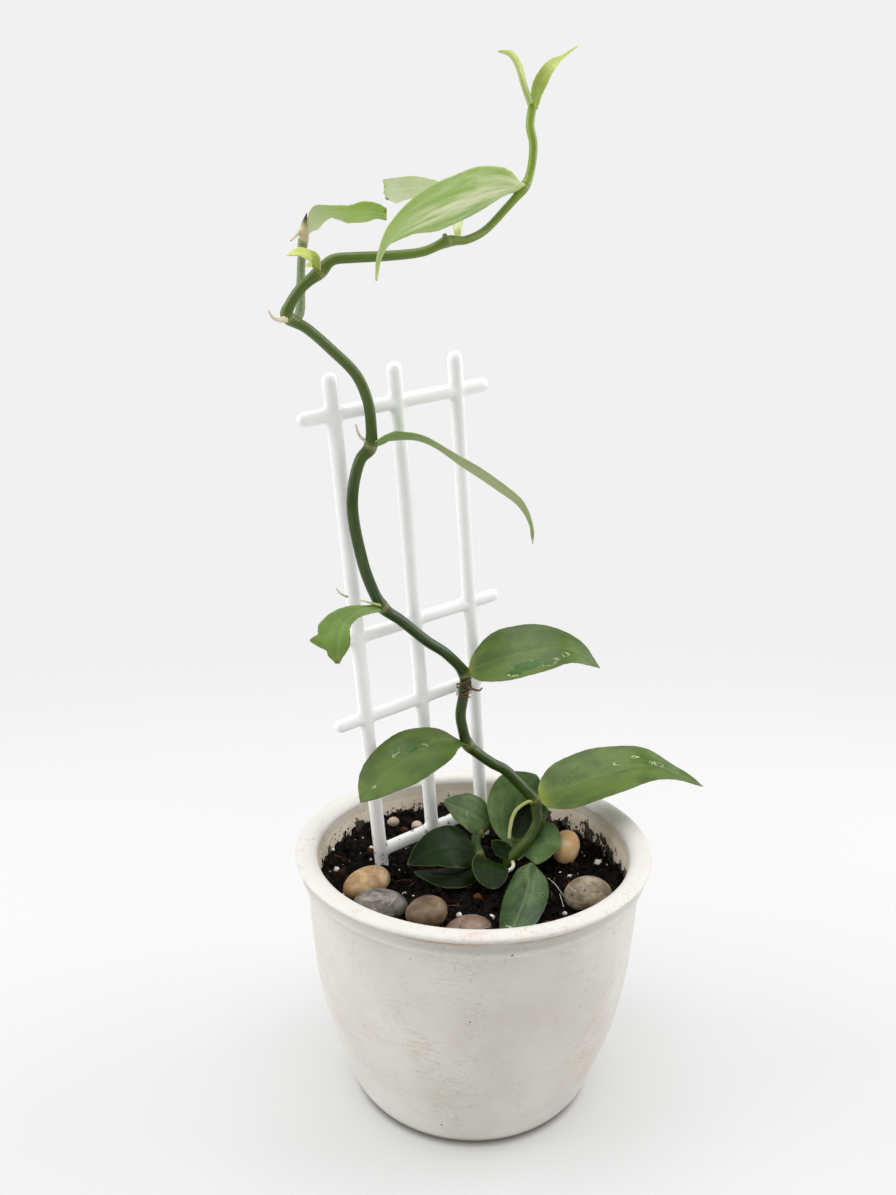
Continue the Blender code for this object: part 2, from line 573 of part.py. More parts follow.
def stone(name, pebble, group, finish=None, grow=0.0):
    """A rounded stone: a sphere drawn out to its three lengths, with a slow swell over its surface."""
    sides = PEBBLE_SIDES if max(pebble.half) > CHIP_SIZE else PEBBLE_SIDES - 4
    body = bmesh.new()
    bmesh.ops.create_uvsphere(body, u_segments=sides, v_segments=sides // 2 + 1, radius=1.0)
    for vertex in body.verts:
        x, y, z = vertex.co
        swell = 1 + 0.05 * math.sin(2.1 * x + 1.3 * z + pebble.turn) + 0.04 * math.cos(2.7 * y - pebble.turn)
        vertex.co = Vector((x, y, z)) * swell
        vertex.co = [c * (h + grow) * MM for c, h in zip(vertex.co, pebble.half)]
    mesh = bpy.data.meshes.new(name)
    body.to_mesh(mesh)
    body.free()
    mesh.shade_smooth()
    obj = add_object(name, mesh, group, finish)
    obj.location = Vector(pebble.centre) * MM
    obj.rotation_euler.z = math.radians(pebble.turn)
    return obj


def build_pebbles(group, cutters):
    """The pebbles, and a slightly larger copy of each to seat it in the soil."""
    seats = []
    for name, pebble in PEBBLES.items():
        stone(name, pebble, group, pebble.finish)
        seats.append(hide_cutter(stone(name + "_seat", pebble, cutters, grow=GAP)))
    return seats


def main():
    """Clear the scene and build the plant."""
    for obj in list(bpy.data.objects):
        bpy.data.objects.remove(obj)
    group = new_collection("potted_vanilla_orchid")
    cutters = new_collection("cutters")
    build_pot(group, cutters)
    holes = build_trellis(group, cutters)
    grown = build_stems(group, cutters)
    holes += grown.values()
    holes += build_pebbles(group, cutters)
    leaf = LEAVES[PLANTED_LEAF]
    foot = tuple(Vector(leaf.rib[0]) - Vector((0, 0, GAP)))
    planted = replace(leaf, rib=(foot, *leaf.rib[1:]), reach=PLANTED_LENGTH)
    holes.append(hide_cutter(blade_object("planted_leaf_hole", planted, cutters, grow=GAP)))
    build_soil(group, holes)
    build_leaves(group, grown)
    build_roots(group, grown)


main()
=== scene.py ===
"""The looks of a potted vanilla orchid: a whitewashed pot of soil and pebbles, a trellis and the plant.

Every piece is a surface worked out with numpy in the part's own frame: +Z up, +X along the trellis's bars,
the origin at the middle of the pot's underside. Lengths are named in millimetres and become metres in a mesh.
"""

from __future__ import annotations

import logging
import math
from dataclasses import dataclass, field
from enum import Enum
from functools import cache, cached_property
from typing import Callable

import bpy
import numpy as np
from mathutils import Matrix, Vector


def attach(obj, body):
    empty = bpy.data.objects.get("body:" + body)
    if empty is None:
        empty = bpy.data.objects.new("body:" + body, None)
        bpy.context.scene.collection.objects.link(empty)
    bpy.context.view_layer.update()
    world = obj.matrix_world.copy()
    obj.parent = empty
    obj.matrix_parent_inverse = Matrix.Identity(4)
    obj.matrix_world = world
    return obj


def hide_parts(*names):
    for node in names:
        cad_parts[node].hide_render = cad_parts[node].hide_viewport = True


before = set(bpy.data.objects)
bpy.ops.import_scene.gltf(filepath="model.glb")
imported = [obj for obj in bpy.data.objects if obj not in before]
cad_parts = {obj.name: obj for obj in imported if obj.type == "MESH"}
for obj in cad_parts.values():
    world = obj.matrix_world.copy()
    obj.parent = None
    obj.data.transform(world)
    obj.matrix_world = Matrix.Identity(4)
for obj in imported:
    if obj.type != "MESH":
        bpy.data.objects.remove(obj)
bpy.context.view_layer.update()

Array = np.ndarray
Draw = np.random.Generator
Socket = bpy.types.NodeSocket
Colour = tuple[float, float, float]
LOG = logging.getLogger("orchid")
MM = 0.001
ROOT = "root"
SCREEN_GAMMA = 2.2
SPLINE_STEPS = 24
HASH_DIRECTION = (127.1, 311.7, 74.7)
HASH_SCALE = 43758.5453
SEED_SHIFT = 17.31
FAR = 30.0


def rgb(red: float, green: float, blue: float) -> Colour:
    """A colour given as it looks on a screen, 0 to 255, turned into the linear values that shaders use."""
    return tuple(float(v) for v in (np.array((red, green, blue)) / 255.0) ** SCREEN_GAMMA)


# Shapes


def smooth_route(points: tuple, step: float) -> Array:
    """Points along a Catmull-Rom curve through the given ones.

    Args:
        points: The curve's own points, in millimetres.
        step: About how far apart the points come out.

    Returns:
        An array of points, evenly spaced.
    """
    knots = np.array(points, float)
    knots = np.vstack([2 * knots[0] - knots[1], knots, 2 * knots[-1] - knots[-2]])
    a, b, c, d = (knots[i:len(knots) - 3 + i, None] for i in range(4))
    t = np.linspace(0, 1, SPLINE_STEPS, endpoint=False)[None, :, None]
    curve = 0.5 * (2 * b + (c - a) * t + (2 * a - 5 * b + 4 * c - d) * t ** 2
                   + (3 * b - a - 3 * c + d) * t ** 3)
    dense = np.vstack([curve.reshape(-1, knots.shape[1]), knots[-2:-1]])
    along = np.r_[0, np.cumsum(np.linalg.norm(np.diff(dense, axis=0), axis=1))]
    even = np.linspace(0, along[-1], max(3, round(along[-1] / step) + 1))
    return np.stack([np.interp(even, along, lane) for lane in dense.T], 1)


def stepped(share: Array, values: tuple) -> Array:
    """Values given at even steps from 0 to 1, read off at those shares of the way."""
    return np.interp(share, np.linspace(0, 1, len(values)), values)


def unit(vectors: Array) -> Array:
    """The vectors, each made one long."""
    return vectors / np.maximum(np.linalg.norm(vectors, axis=-1, keepdims=True), 1e-12)


def turns(sides: int) -> Array:
    """Angles at even steps once round."""
    return np.linspace(0, 2 * math.pi, sides, endpoint=False)


def round_points(reach: Array | float, turn: Array | float, height: Array | float) -> Array:
    """Points at a distance from the Z axis, an angle about it and a height."""
    return np.stack(np.broadcast_arrays(reach * np.cos(turn), reach * np.sin(turn), height), -1)


def value_noise(places: Array, cell: float, seed: int = 0) -> Array:
    """Smooth random values from -1 to 1: a hashed lattice of that cell size, blended along all three axes."""
    cells = places / cell + seed * SEED_SHIFT
    base = np.floor(cells)
    part = cells - base
    part = part * part * (3 - 2 * part)
    total = np.zeros(places.shape[:-1])
    for corner in np.ndindex(2, 2, 2):
        dot = (base + corner) @ np.array(HASH_DIRECTION) + seed
        chance = np.modf(np.abs(np.sin(dot) * HASH_SCALE))[0]
        total += chance * np.prod(np.where(corner, part, 1 - part), axis=-1)
    return 2 * total - 1


def rough_noise(places: Array, cell: float, octaves: int, seed: int = 0) -> Array:
    """Value noise added up over octaves, each with half the cell and half the height of the one before."""
    return sum(value_noise(places, cell / 2 ** i, seed + i) / 2 ** i for i in range(octaves))


@dataclass
class Surface:
    """Points in millimetres with quads and triangles, the corners' UVs and named values at the points."""

    points: Array
    quads: Array
    tris: Array
    quad_uv: Array
    tri_uv: Array
    values: dict[str, Array] = field(default_factory=dict)

    @classmethod
    def of_rings(cls, rings: Array, values: dict[str, Array] | None = None) -> Surface:
        """A closed skin over rings of points, with a fan of triangles at each end.

        Args:
            rings: Points as (ring, place round the ring, xyz).
            values: Named values with one number for each of those points.

        Returns:
            The surface, its faces pointing out. U runs round the rings and V from the first ring to the last.
        """
        count, sides = rings.shape[:2]
        ends = rings[[0, -1]].mean(axis=1)
        points = np.vstack([rings.reshape(-1, 3), ends])
        row, side = np.meshgrid(np.arange(count - 1), np.arange(sides), indexing="ij")
        row, side = row.ravel()[:, None], side.ravel()[:, None]
        rows = row + np.array((0, 0, 1, 1))
        lanes = side + np.array((0, 1, 1, 0))
        quads = rows * sides + lanes % sides
        quad_uv = np.stack([lanes / sides, rows / (count - 1)], -1)
        lane = np.arange(sides)[:, None]
        pair = lane + np.array((0, 1))
        low = np.hstack([np.full_like(lane, count * sides), pair[:, ::-1] % sides])
        high = np.hstack([np.full_like(lane, count * sides + 1), (count - 1) * sides + pair % sides])
        middle = (lane + 0.5) / sides
        low_uv = np.stack([np.hstack([middle, pair[:, ::-1] / sides]), np.zeros((sides, 3))], -1)
        high_uv = np.stack([np.hstack([middle, pair / sides]), np.ones((sides, 3))], -1)
        kept = {name: np.r_[np.broadcast_to(value, (count, sides)).ravel(),
                            np.broadcast_to(value, (count, sides))[[0, -1]].mean(axis=1)]
                for name, value in (values or {}).items()}
        made = cls(points, quads, np.vstack([low, high]), quad_uv, np.vstack([low_uv, high_uv]), kept)
        return made.facing_out()

    def facing_out(self) -> Surface:
        """The surface with its faces turned round if its signed volume is negative."""
        a, b, c, d = (self.points[self.quads[:, i]] for i in range(4))
        e, f, g = (self.points[self.tris[:, i]] for i in range(3))
        volume = (np.einsum("ij,ij->", a, np.cross(b, c)) + np.einsum("ij,ij->", a, np.cross(c, d))
                  + np.einsum("ij,ij->", e, np.cross(f, g)))
        if volume < 0:
            self.quads, self.quad_uv = self.quads[:, ::-1], self.quad_uv[:, ::-1]
            self.tris, self.tri_uv = self.tris[:, ::-1], self.tri_uv[:, ::-1]
        return self

    @classmethod
    def joined(cls, parts: list[Surface]) -> Surface:
        """Several surfaces as one, each keeping its own points."""
        starts = np.cumsum([0] + [len(part.points) for part in parts[:-1]])
        return cls(
            np.vstack([part.points for part in parts]),
            np.vstack([part.quads + start for part, start in zip(parts, starts)]),
            np.vstack([part.tris + start for part, start in zip(parts, starts)]),
            np.vstack([part.quad_uv for part in parts]),
            np.vstack([part.tri_uv for part in parts]),
            {name: np.concatenate([part.values[name] for part in parts]) for name in parts[0].values},
        )

    def scattered(self, places: Array, frames: Array, rng: Draw, jitter: float = 0.0) -> Surface:
        """Copies of the surface, each turned and stretched by its frame and moved to its place.

        Args:
            places: The copies' centres, in millimetres.
            frames: A 3 by 3 matrix for each copy, whose columns are its axes at its own size.
            rng: The random draw for the jitter and for each copy's tone.
            jitter: How far each point may move in or out, as a share of its distance from the centre.

        Returns:
            All the copies as one surface, with a value "tone" from -1 to 1 that is the same all over a copy.
        """
        count, size = len(places), len(self.points)
        shaped = self.points * (1 + jitter * rng.uniform(-1, 1, (count, size, 1)))
        points = np.einsum("kij,knj->kni", frames, shaped) + places[:, None]
        starts = (np.arange(count) * size)[:, None, None]
        tone = np.repeat(rng.uniform(-1, 1, count), size)
        return Surface(
            points.reshape(-1, 3),
            (self.quads + starts).reshape(-1, 4),
            (self.tris + starts).reshape(-1, 3),
            np.tile(self.quad_uv, (count, 1, 1)),
            np.tile(self.tri_uv, (count, 1, 1)),
            {"tone": tone},
        )

    def mesh(self, name: str) -> bpy.types.Mesh:
        """A smooth-shaded mesh of the surface, in metres, with its UV map and its values as attributes."""
        made = bpy.data.meshes.new(name)
        corners = np.concatenate([self.quads.ravel(), self.tris.ravel()])
        made.vertices.add(len(self.points))
        made.vertices.foreach_set("co", (self.points * MM).astype(np.float32).ravel())
        made.loops.add(len(corners))
        made.loops.foreach_set("vertex_index", corners.astype(np.int32))
        made.polygons.add(len(self.quads) + len(self.tris))
        starts = np.r_[np.arange(len(self.quads)) * 4, len(self.quads) * 4 + np.arange(len(self.tris)) * 3]
        made.polygons.foreach_set("loop_start", starts.astype(np.int32))
        made.update(calc_edges=True)
        uv = np.concatenate([self.quad_uv.reshape(-1, 2), self.tri_uv.reshape(-1, 2)])
        made.uv_layers.new(name="UVMap").data.foreach_set("uv", uv.astype(np.float32).ravel())
        for label, value in self.values.items():
            made.attributes.new(label, "FLOAT", "POINT").data.foreach_set("value", value.astype(np.float32))
        made.shade_smooth()
        made.validate()
        return made


def add_object(name: str, data: bpy.types.ID) -> bpy.types.Object:
    """A new object in the scene, at the origin."""
    obj = bpy.data.objects.new(name, data)
    bpy.context.scene.collection.objects.link(obj)
    return obj


def add_piece(name: str, surface: Surface, finish: Finish, nodes: tuple = ()) -> bpy.types.Object:
    """Add one finished piece to the object.

    Args:
        name: The piece's name.
        surface: Its surface.
        finish: What it is finished with.
        nodes: The CAD nodes that it stands for.

    Returns:
        The piece's object, riding on the part's one body.
    """
    mesh = surface.mesh(name)
    mesh.materials.append(finish.material())
    obj = add_object(name, mesh)
    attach(obj, ROOT)
    if nodes:
        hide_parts(*nodes)
    LOG.info("%s: %d faces", name, len(mesh.polygons))
    return obj


def apply_modifiers(obj: bpy.types.Object) -> None:
    """Replace an object's mesh by its evaluated shape and take its modifiers off."""
    bpy.context.view_layer.update()
    shaped = bpy.data.meshes.new_from_object(obj.evaluated_get(bpy.context.evaluated_depsgraph_get()))
    shaped.name = obj.name
    obj.modifiers.clear()
    obj.data = shaped
    shaped.shade_smooth()


def tube(route: Array, radius: Array | float, sides: int, reference: tuple = (0.0, 1.0, 0.0),
         values: dict[str, Array] | None = None) -> Surface:
    """A round shoot: a circle of that radius carried square to the route.

    Args:
        route: Points along the middle, in millimetres.
        radius: One radius, one for each point, or one for each point and side.
        sides: How many points stand round the circle.
        reference: A direction that the route never runs along.
        values: Named values for the points.

    Returns:
        The shoot with both ends closed.
    """
    forward = unit(np.gradient(route, axis=0))
    side = unit(np.cross(forward, reference))
    other = np.cross(forward, side)
    angle = turns(sides)
    spread = np.broadcast_to(np.asarray(radius, float).reshape(-1, 1) if np.ndim(radius) < 2 else radius,
                             (len(route), sides))[..., None]
    turn = np.cos(angle)[None, :, None] * side[:, None] + np.sin(angle)[None, :, None] * other[:, None]
    return Surface.of_rings(route[:, None] + spread * turn, values)


def ball(rows: int, sides: int) -> Surface:
    """A sphere of radius 1 whose rings run from its lower pole to its upper one."""
    rise = np.linspace(-math.pi / 2, math.pi / 2, rows + 2)[1:-1, None]
    made = Surface.of_rings(round_points(np.cos(rise), turns(sides)[None], np.sin(rise)))
    made.points[-2:, 2] = (-1, 1)
    return made


def random_frames(sizes: Array, rng: Draw, flat: float = 0.0) -> Array:
    """Random turns, each scaled to its sizes.

    Args:
        sizes: The three half lengths of each, in millimetres.
        rng: The random draw.
        flat: 0 for any turn, up to 1 for turns about +Z only.

    Returns:
        An array of matrices whose columns are the turned and scaled axes.
    """
    first = rng.normal(size=(len(sizes), 3)) * (1, 1, 1 - flat)
    second = rng.normal(size=(len(sizes), 3)) * (1 - flat, 1 - flat, 1) + (0, 0, flat * 3)
    x = unit(first)
    z = unit(second - (second * x).sum(-1, keepdims=True) * x)
    return np.stack([x, np.cross(z, x), z], -1) * sizes[:, None, :]


# Shader nodes


class Graph:
    """A node tree, with short calls that add its nodes and link them."""

    def __init__(self, tree: bpy.types.NodeTree) -> None:
        """Keep the tree."""
        self.tree = tree

    def put(self, socket: Socket, value: object) -> None:
        """Link a socket, or give it a plain value; a colour gets an alpha of 1."""
        if isinstance(value, Socket):
            self.tree.links.new(value, socket)
        elif socket.type == "RGBA":
            socket.default_value = (*value, 1.0)
        else:
            socket.default_value = value

    def made(self, kind: str, inputs: dict, **settings: object) -> bpy.types.Node:
        """A node of a kind, with its own properties set and its inputs put by name or number."""
        node = self.tree.nodes.new("ShaderNode" + kind)
        for key, value in settings.items():
            setattr(node, key, value)
        for key, value in inputs.items():
            self.put(node.inputs[key], value)
        return node

    def node(self, kind: str, inputs: dict, out: int | str = 0, **settings: object) -> Socket:
        """One output of a new node.

        Args:
            kind: The node's type, without the ShaderNode in front.
            inputs: Values or sockets by the name or number of its inputs.
            out: The output that is wanted.
            **settings: Its own properties.

        Returns:
            That output.
        """
        return self.made(kind, inputs, **settings).outputs[out]

    def math(self, operation: str, a: object, b: object = 0.0) -> Socket:
        """One Math node."""
        return self.node("Math", {0: a, 1: b}, operation=operation)

    def product(self, *factors: object) -> object:
        """The factors multiplied together."""
        total = factors[0]
        for factor in factors[1:]:
            total = self.math("MULTIPLY", total, factor)
        return total

    def total(self, start: object, *parts: tuple) -> Socket:
        """A start value plus each part's value times its weight."""
        for value, weight in parts:
            start = self.math("ADD", start, self.product(value, weight))
        return start

    def apart(self, value: object, middle: float) -> Socket:
        """How far a value lies from a middle one, to either side."""
        return self.math("ABSOLUTE", self.math("SUBTRACT", value, middle))

    def swing(self, noise: Socket, size: float) -> Socket:
        """A noise shifted to lie about zero and made that large."""
        return self.product(self.math("SUBTRACT", noise, 0.5), size)

    def span(self, value: object, low: object, high: object, start: object = 0.0,
             end: object = 1.0) -> Socket:
        """A value's place between low and high, carried smoothly to between start and end and held there."""
        return self.node("MapRange", {"Value": value, "From Min": low, "From Max": high, "To Min": start,
                                      "To Max": end}, interpolation_type="SMOOTHSTEP")

    def mix(self, amount: object, a: object, b: object) -> Socket:
        """Two colours mixed."""
        return self.node("Mix", {0: amount, 6: a, 7: b}, 2, data_type="RGBA")

    def coats(self, colour: object, *layers: tuple) -> Socket:
        """Colours laid over a first one in turn.

        Args:
            colour: The first colour.
            *layers: For each, its colour and then the factors of how much it covers.

        Returns:
            The colour that comes out on top.
        """
        for layer, *factors in layers:
            colour = self.mix(self.product(*factors), colour, layer)
        return colour

    def attribute(self, name: str) -> Socket:
        """A number stored at the piece's points."""
        return self.node("Attribute", {}, "Fac", attribute_name=name)

    def split(self, vector: object) -> tuple[Socket, ...]:
        """A vector's three numbers."""
        return tuple(self.made("SeparateXYZ", {0: vector}).outputs)

    def vector(self, x: object, y: object, z: object = 0.0) -> Socket:
        """A vector from three numbers."""
        return self.node("CombineXYZ", {0: x, 1: y, 2: z})

    @cached_property
    def place(self) -> Socket:
        """The point in the object's own coordinates, in metres."""
        return self.node("TexCoord", {}, "Object")

    @cached_property
    def xyz(self) -> tuple[Socket, ...]:
        """The place's three numbers."""
        return self.split(self.place)

    @cached_property
    def uv(self) -> tuple[Socket, ...]:
        """The piece's own U and V."""
        return self.split(self.node("UVMap", {}, uv_map="UVMap"))[:2]

    def off_axis(self) -> Socket:
        """How far the place lies from the Z axis, in metres."""
        x, y, _ = self.xyz
        return self.math("SQRT", self.math("ADD", self.product(x, x), self.product(y, y)))

    def rise(self, start: float, full: float) -> Socket:
        """0 at one height of the object and 1 at another, both in millimetres."""
        return self.span(self.xyz[2], start * MM, full * MM)

    def noise(self, vector: object, scale: float, detail: float = 3.0, roughness: float = 0.5,
              distortion: float = 0.0) -> Socket:
        """A noise texture's value."""
        return self.node("TexNoise", {"Vector": vector, "Scale": scale, "Detail": detail,
                                      "Roughness": roughness, "Distortion": distortion}, "Fac")

    def grain(self, per_metre: object, detail: float = 3.0, roughness: float = 0.5, distortion: float = 0.0,
              squash: tuple = (), turn: tuple = (0, 0, 0)) -> Socket:
        """A noise in the object's own space.

        Args:
            per_metre: Its scale.
            detail: How many octaves it has.
            roughness: How much each octave counts against the one before.
            distortion: How far it is bent.
            squash: A further scale along each axis, or nothing for the same all round.
            turn: How far the space is turned before it is squashed, in radians.

        Returns:
            The noise's value.
        """
        vector = self.place
        if squash:
            vector = self.node("Mapping", {"Vector": vector, "Scale": squash, "Rotation": turn})
        return self.noise(vector, per_metre, detail, roughness, distortion)

    def placed(self, group: Group, values: dict[str, object]) -> dict[str, Socket]:
        """A group placed in this tree with its own values; its outputs come back by name."""
        node = self.tree.nodes.new("ShaderNodeGroup")
        node.node_tree = group.tree()
        for label, value in values.items():
            self.put(node.inputs[label], value)
        return {socket.name: socket for socket in node.outputs}

    def patches(self, per_metre: float, softness: float) -> Socket:
        """A mask of cloudy patches."""
        return self.placed(MOTTLE, {"Patches per metre": per_metre, "Softness": softness})["Mask"]

    def specks(self, per_metre: float, size: float, share: float) -> Socket:
        """A mask of small round specks."""
        return self.placed(SPECKS, {"Cells per metre": per_metre, "Size": size, "Share": share})["Mask"]


@dataclass(frozen=True)
class Group:
    """A shader node group that materials share.

    It has a name, inputs with their default values (a colour is a tuple), outputs with True for a colour, and
    the function that fills it. Called with a Graph and the input sockets by name, it returns the outputs
    in order.
    """

    name: str
    inputs: dict
    outputs: dict
    fill: Callable[[Graph, dict[str, Socket]], tuple]

    def tree(self) -> bpy.types.NodeTree:
        """The group's tree, built the first time that it is asked for."""
        found = bpy.data.node_groups.get(self.name)
        if found:
            return found
        tree = bpy.data.node_groups.new(self.name, "ShaderNodeTree")
        for label, value in self.inputs.items():
            kind = "NodeSocketColor" if isinstance(value, tuple) else "NodeSocketFloat"
            socket = tree.interface.new_socket(label, in_out="INPUT", socket_type=kind)
            socket.default_value = (*value, 1.0) if isinstance(value, tuple) else value
        for label, coloured in self.outputs.items():
            kind = "NodeSocketColor" if coloured else "NodeSocketFloat"
            tree.interface.new_socket(label, in_out="OUTPUT", socket_type=kind)
        graph = Graph(tree)
        entry = tree.nodes.new("NodeGroupInput")
        leave = tree.nodes.new("NodeGroupOutput")
        made = self.fill(graph, {label: entry.outputs[label] for label in self.inputs})
        for socket, value in zip(leave.inputs, made):
            graph.put(socket, value)
        return tree


class Finish:
    """A finish; each kind names it, says what feeds its shader, and how strongly its relief shows."""

    name: str
    bump = 0.6

    def inputs(self, graph: Graph) -> dict[str, object]:
        """What feeds the shader's sockets, with the relief in millimetres under Height."""
        raise NotImplementedError

    def constants(self) -> dict[str, float]:
        """Further values for the shader's own sockets."""
        return {}

    @cache
    def material(self) -> bpy.types.Material:
        """The finish as a Principled material, made the first time that it is asked for."""
        made = bpy.data.materials.new(self.name)
        made.use_nodes = True
        graph = Graph(made.node_tree)
        inputs = self.inputs(graph)
        if "Height" in inputs:
            relief = {"Strength": self.bump, "Distance": MM, "Height": inputs.pop("Height")}
            inputs["Normal"] = graph.node("Bump", relief)
        shader = made.node_tree.nodes["Principled BSDF"]
        for label, value in {**inputs, **self.constants()}.items():
            graph.put(shader.inputs[label], value)
        return made


def fill_specks(graph: Graph, given: dict[str, Socket]) -> tuple:
    """Small round specks: the near part of some cells of a Voronoi pattern, chosen by the cell's colour.

    Args:
        graph: The group's own tree.
        given: Its input sockets by name.

    Returns:
        The mask.
    """
    cells = graph.made("TexVoronoi", {"Vector": graph.place, "Scale": given["Cells per metre"]})
    chance, size, _ = graph.split(cells.outputs["Color"])
    reach = graph.product(given["Size"], graph.span(size, 0.0, 1.0, 0.3, 1.0))
    spot = graph.span(cells.outputs["Distance"], reach, graph.product(reach, 0.4))
    chosen = graph.span(chance, graph.math("SUBTRACT", 1.0, given["Share"]), 1.0, 0.0, 3.0)
    return (graph.product(spot, chosen),)


def fill_mottle(graph: Graph, given: dict[str, Socket]) -> tuple:
    """Cloudy patches: noise in the object's own space, with its middle range stretched to 0 to 1."""
    cloud = graph.grain(given["Patches per metre"], 4.0, 0.55)
    half = graph.product(given["Softness"], 0.5)
    return (graph.span(cloud, graph.math("SUBTRACT", 0.5, half), graph.math("ADD", 0.5, half)),)


def fill_leaf(graph: Graph, given: dict[str, Socket]) -> tuple:
    """A leaf's skin: clouds, pale streaks that are partly painted sheen, fine parallel veins along the blade,
    a painted sheen band beside the midrib, margin, scars and dry ends.

    Args:
        graph: The group's own tree.
        given: Its input sockets by name.

    Returns:
        The colour, the roughness and the relief in millimetres.
    """
    u, v = graph.uv
    edge, rib, under, scar, dry, tone = map(graph.attribute, ("edge", "rib", "under", "scar", "dry", "tone"))
    fine = graph.grain(900.0, 3.0, 0.6)
    lane = graph.math("ADD", u, graph.swing(graph.grain(45.0, 2.0), 0.06))
    across = graph.product(lane, given["Lanes"])
    wide = graph.vector(graph.product(across, 0.09), graph.product(v, 2.4), graph.product(tone, 5.0))
    streaks_and_sheen = graph.noise(wide, 1.0, 5.0, 0.6)
    veins = graph.noise(graph.vector(across, graph.product(v, 3.0), tone), 1.0, 2.0, 0.6)
    before_tip = graph.span(v, 0.88, 0.45, 0.12, 1.0)
    crooked = graph.grain(420.0, 3.0, 0.6)
    ragged = graph.math("ADD", scar, graph.swing(crooked, 4.5))
    in_scar = graph.span(ragged, 0.3, -0.3)
    ring = graph.product(graph.span(graph.apart(ragged, 0.0), 0.28, 0.06),
                         graph.span(graph.grain(150.0, 2.0), 0.44, 0.56))
    pits = graph.specks(170.0, 0.1, 0.08)
    dried = graph.span(graph.math("ADD", dry, graph.swing(crooked, -3.0)), 0.7, 0.0)
    colour = graph.coats(
        given["Face"],
        (given["Deep"], graph.patches(75.0, 0.3)),
        (given["Under"], under, graph.span(v, 1.0, 0.70, 0.2, 0.85)),
        # Pale streaks along the blade: partly the leaf's own, partly painted sheen.
        (given["Vein"], graph.span(streaks_and_sheen, 0.40, 0.70), given["Streaks"], before_tip),
        (given["Vein"], graph.span(veins, 0.4, 0.7), given["Streaks"], 0.4),
        # Painted sheen: a pale patchy band beside the midrib.
        (given["Vein"], graph.span(rib, 9.0, 0.5), graph.span(streaks_and_sheen, 0.32, 0.60), given["Band"], before_tip),
        (given["Vein"], graph.span(rib, 0.9, 0.1), 0.18),
        (given["Stalk"], graph.span(v, given["Reach"], 0.0, 0.0, 0.75)),
        (given["Margin"], graph.span(edge, 0.5, 0.12, 0.0, 0.7)),
        (given["Margin"], graph.span(v, 0.965, 1.0, 0.0, 0.7)),
        (given["Wet"], in_scar, 0.85),
        (SCAR_RIM, ring, 0.75),
        (PIT_BROWN, pits, 0.6),
        (DRY_BROWN, dried, 0.75),
    )
    colour = graph.node("HueSaturation", {"Hue": 0.5, "Saturation": 1.0, "Color": colour,
                                          "Value": graph.total(1.0, (tone, 0.3))})
    rough = graph.total(given["Gloss"], (fine, 0.16), (in_scar, -0.14), (dried, 0.3))
    relief = graph.total(0.0, (veins, 0.14), (fine, 0.1), (ring, 0.2), (in_scar, -0.1))
    return colour, rough, relief


SCAR_RIM = rgb(216, 224, 160)
PIT_BROWN = rgb(70, 62, 34)
DRY_BROWN = rgb(112, 80, 46)
LEAF_COLOURS = ("Face", "Deep", "Vein", "Under", "Margin", "Stalk", "Wet")
SPECKS = Group("specks", {"Cells per metre": 150.0, "Size": 0.1, "Share": 0.2}, {"Mask": False}, fill_specks)
MOTTLE = Group("mottle", {"Patches per metre": 60.0, "Softness": 0.3}, {"Mask": False}, fill_mottle)
LEAF_SKIN = Group(
    "leaf_skin",
    {**dict.fromkeys(LEAF_COLOURS, (0.1, 0.2, 0.05)),
     "Streaks": 0.3, "Band": 0.0, "Reach": 0.12, "Gloss": 0.35, "Lanes": 70.0},
    {"Color": True, "Roughness": False, "Height": False},
    fill_leaf,
)


# Pot


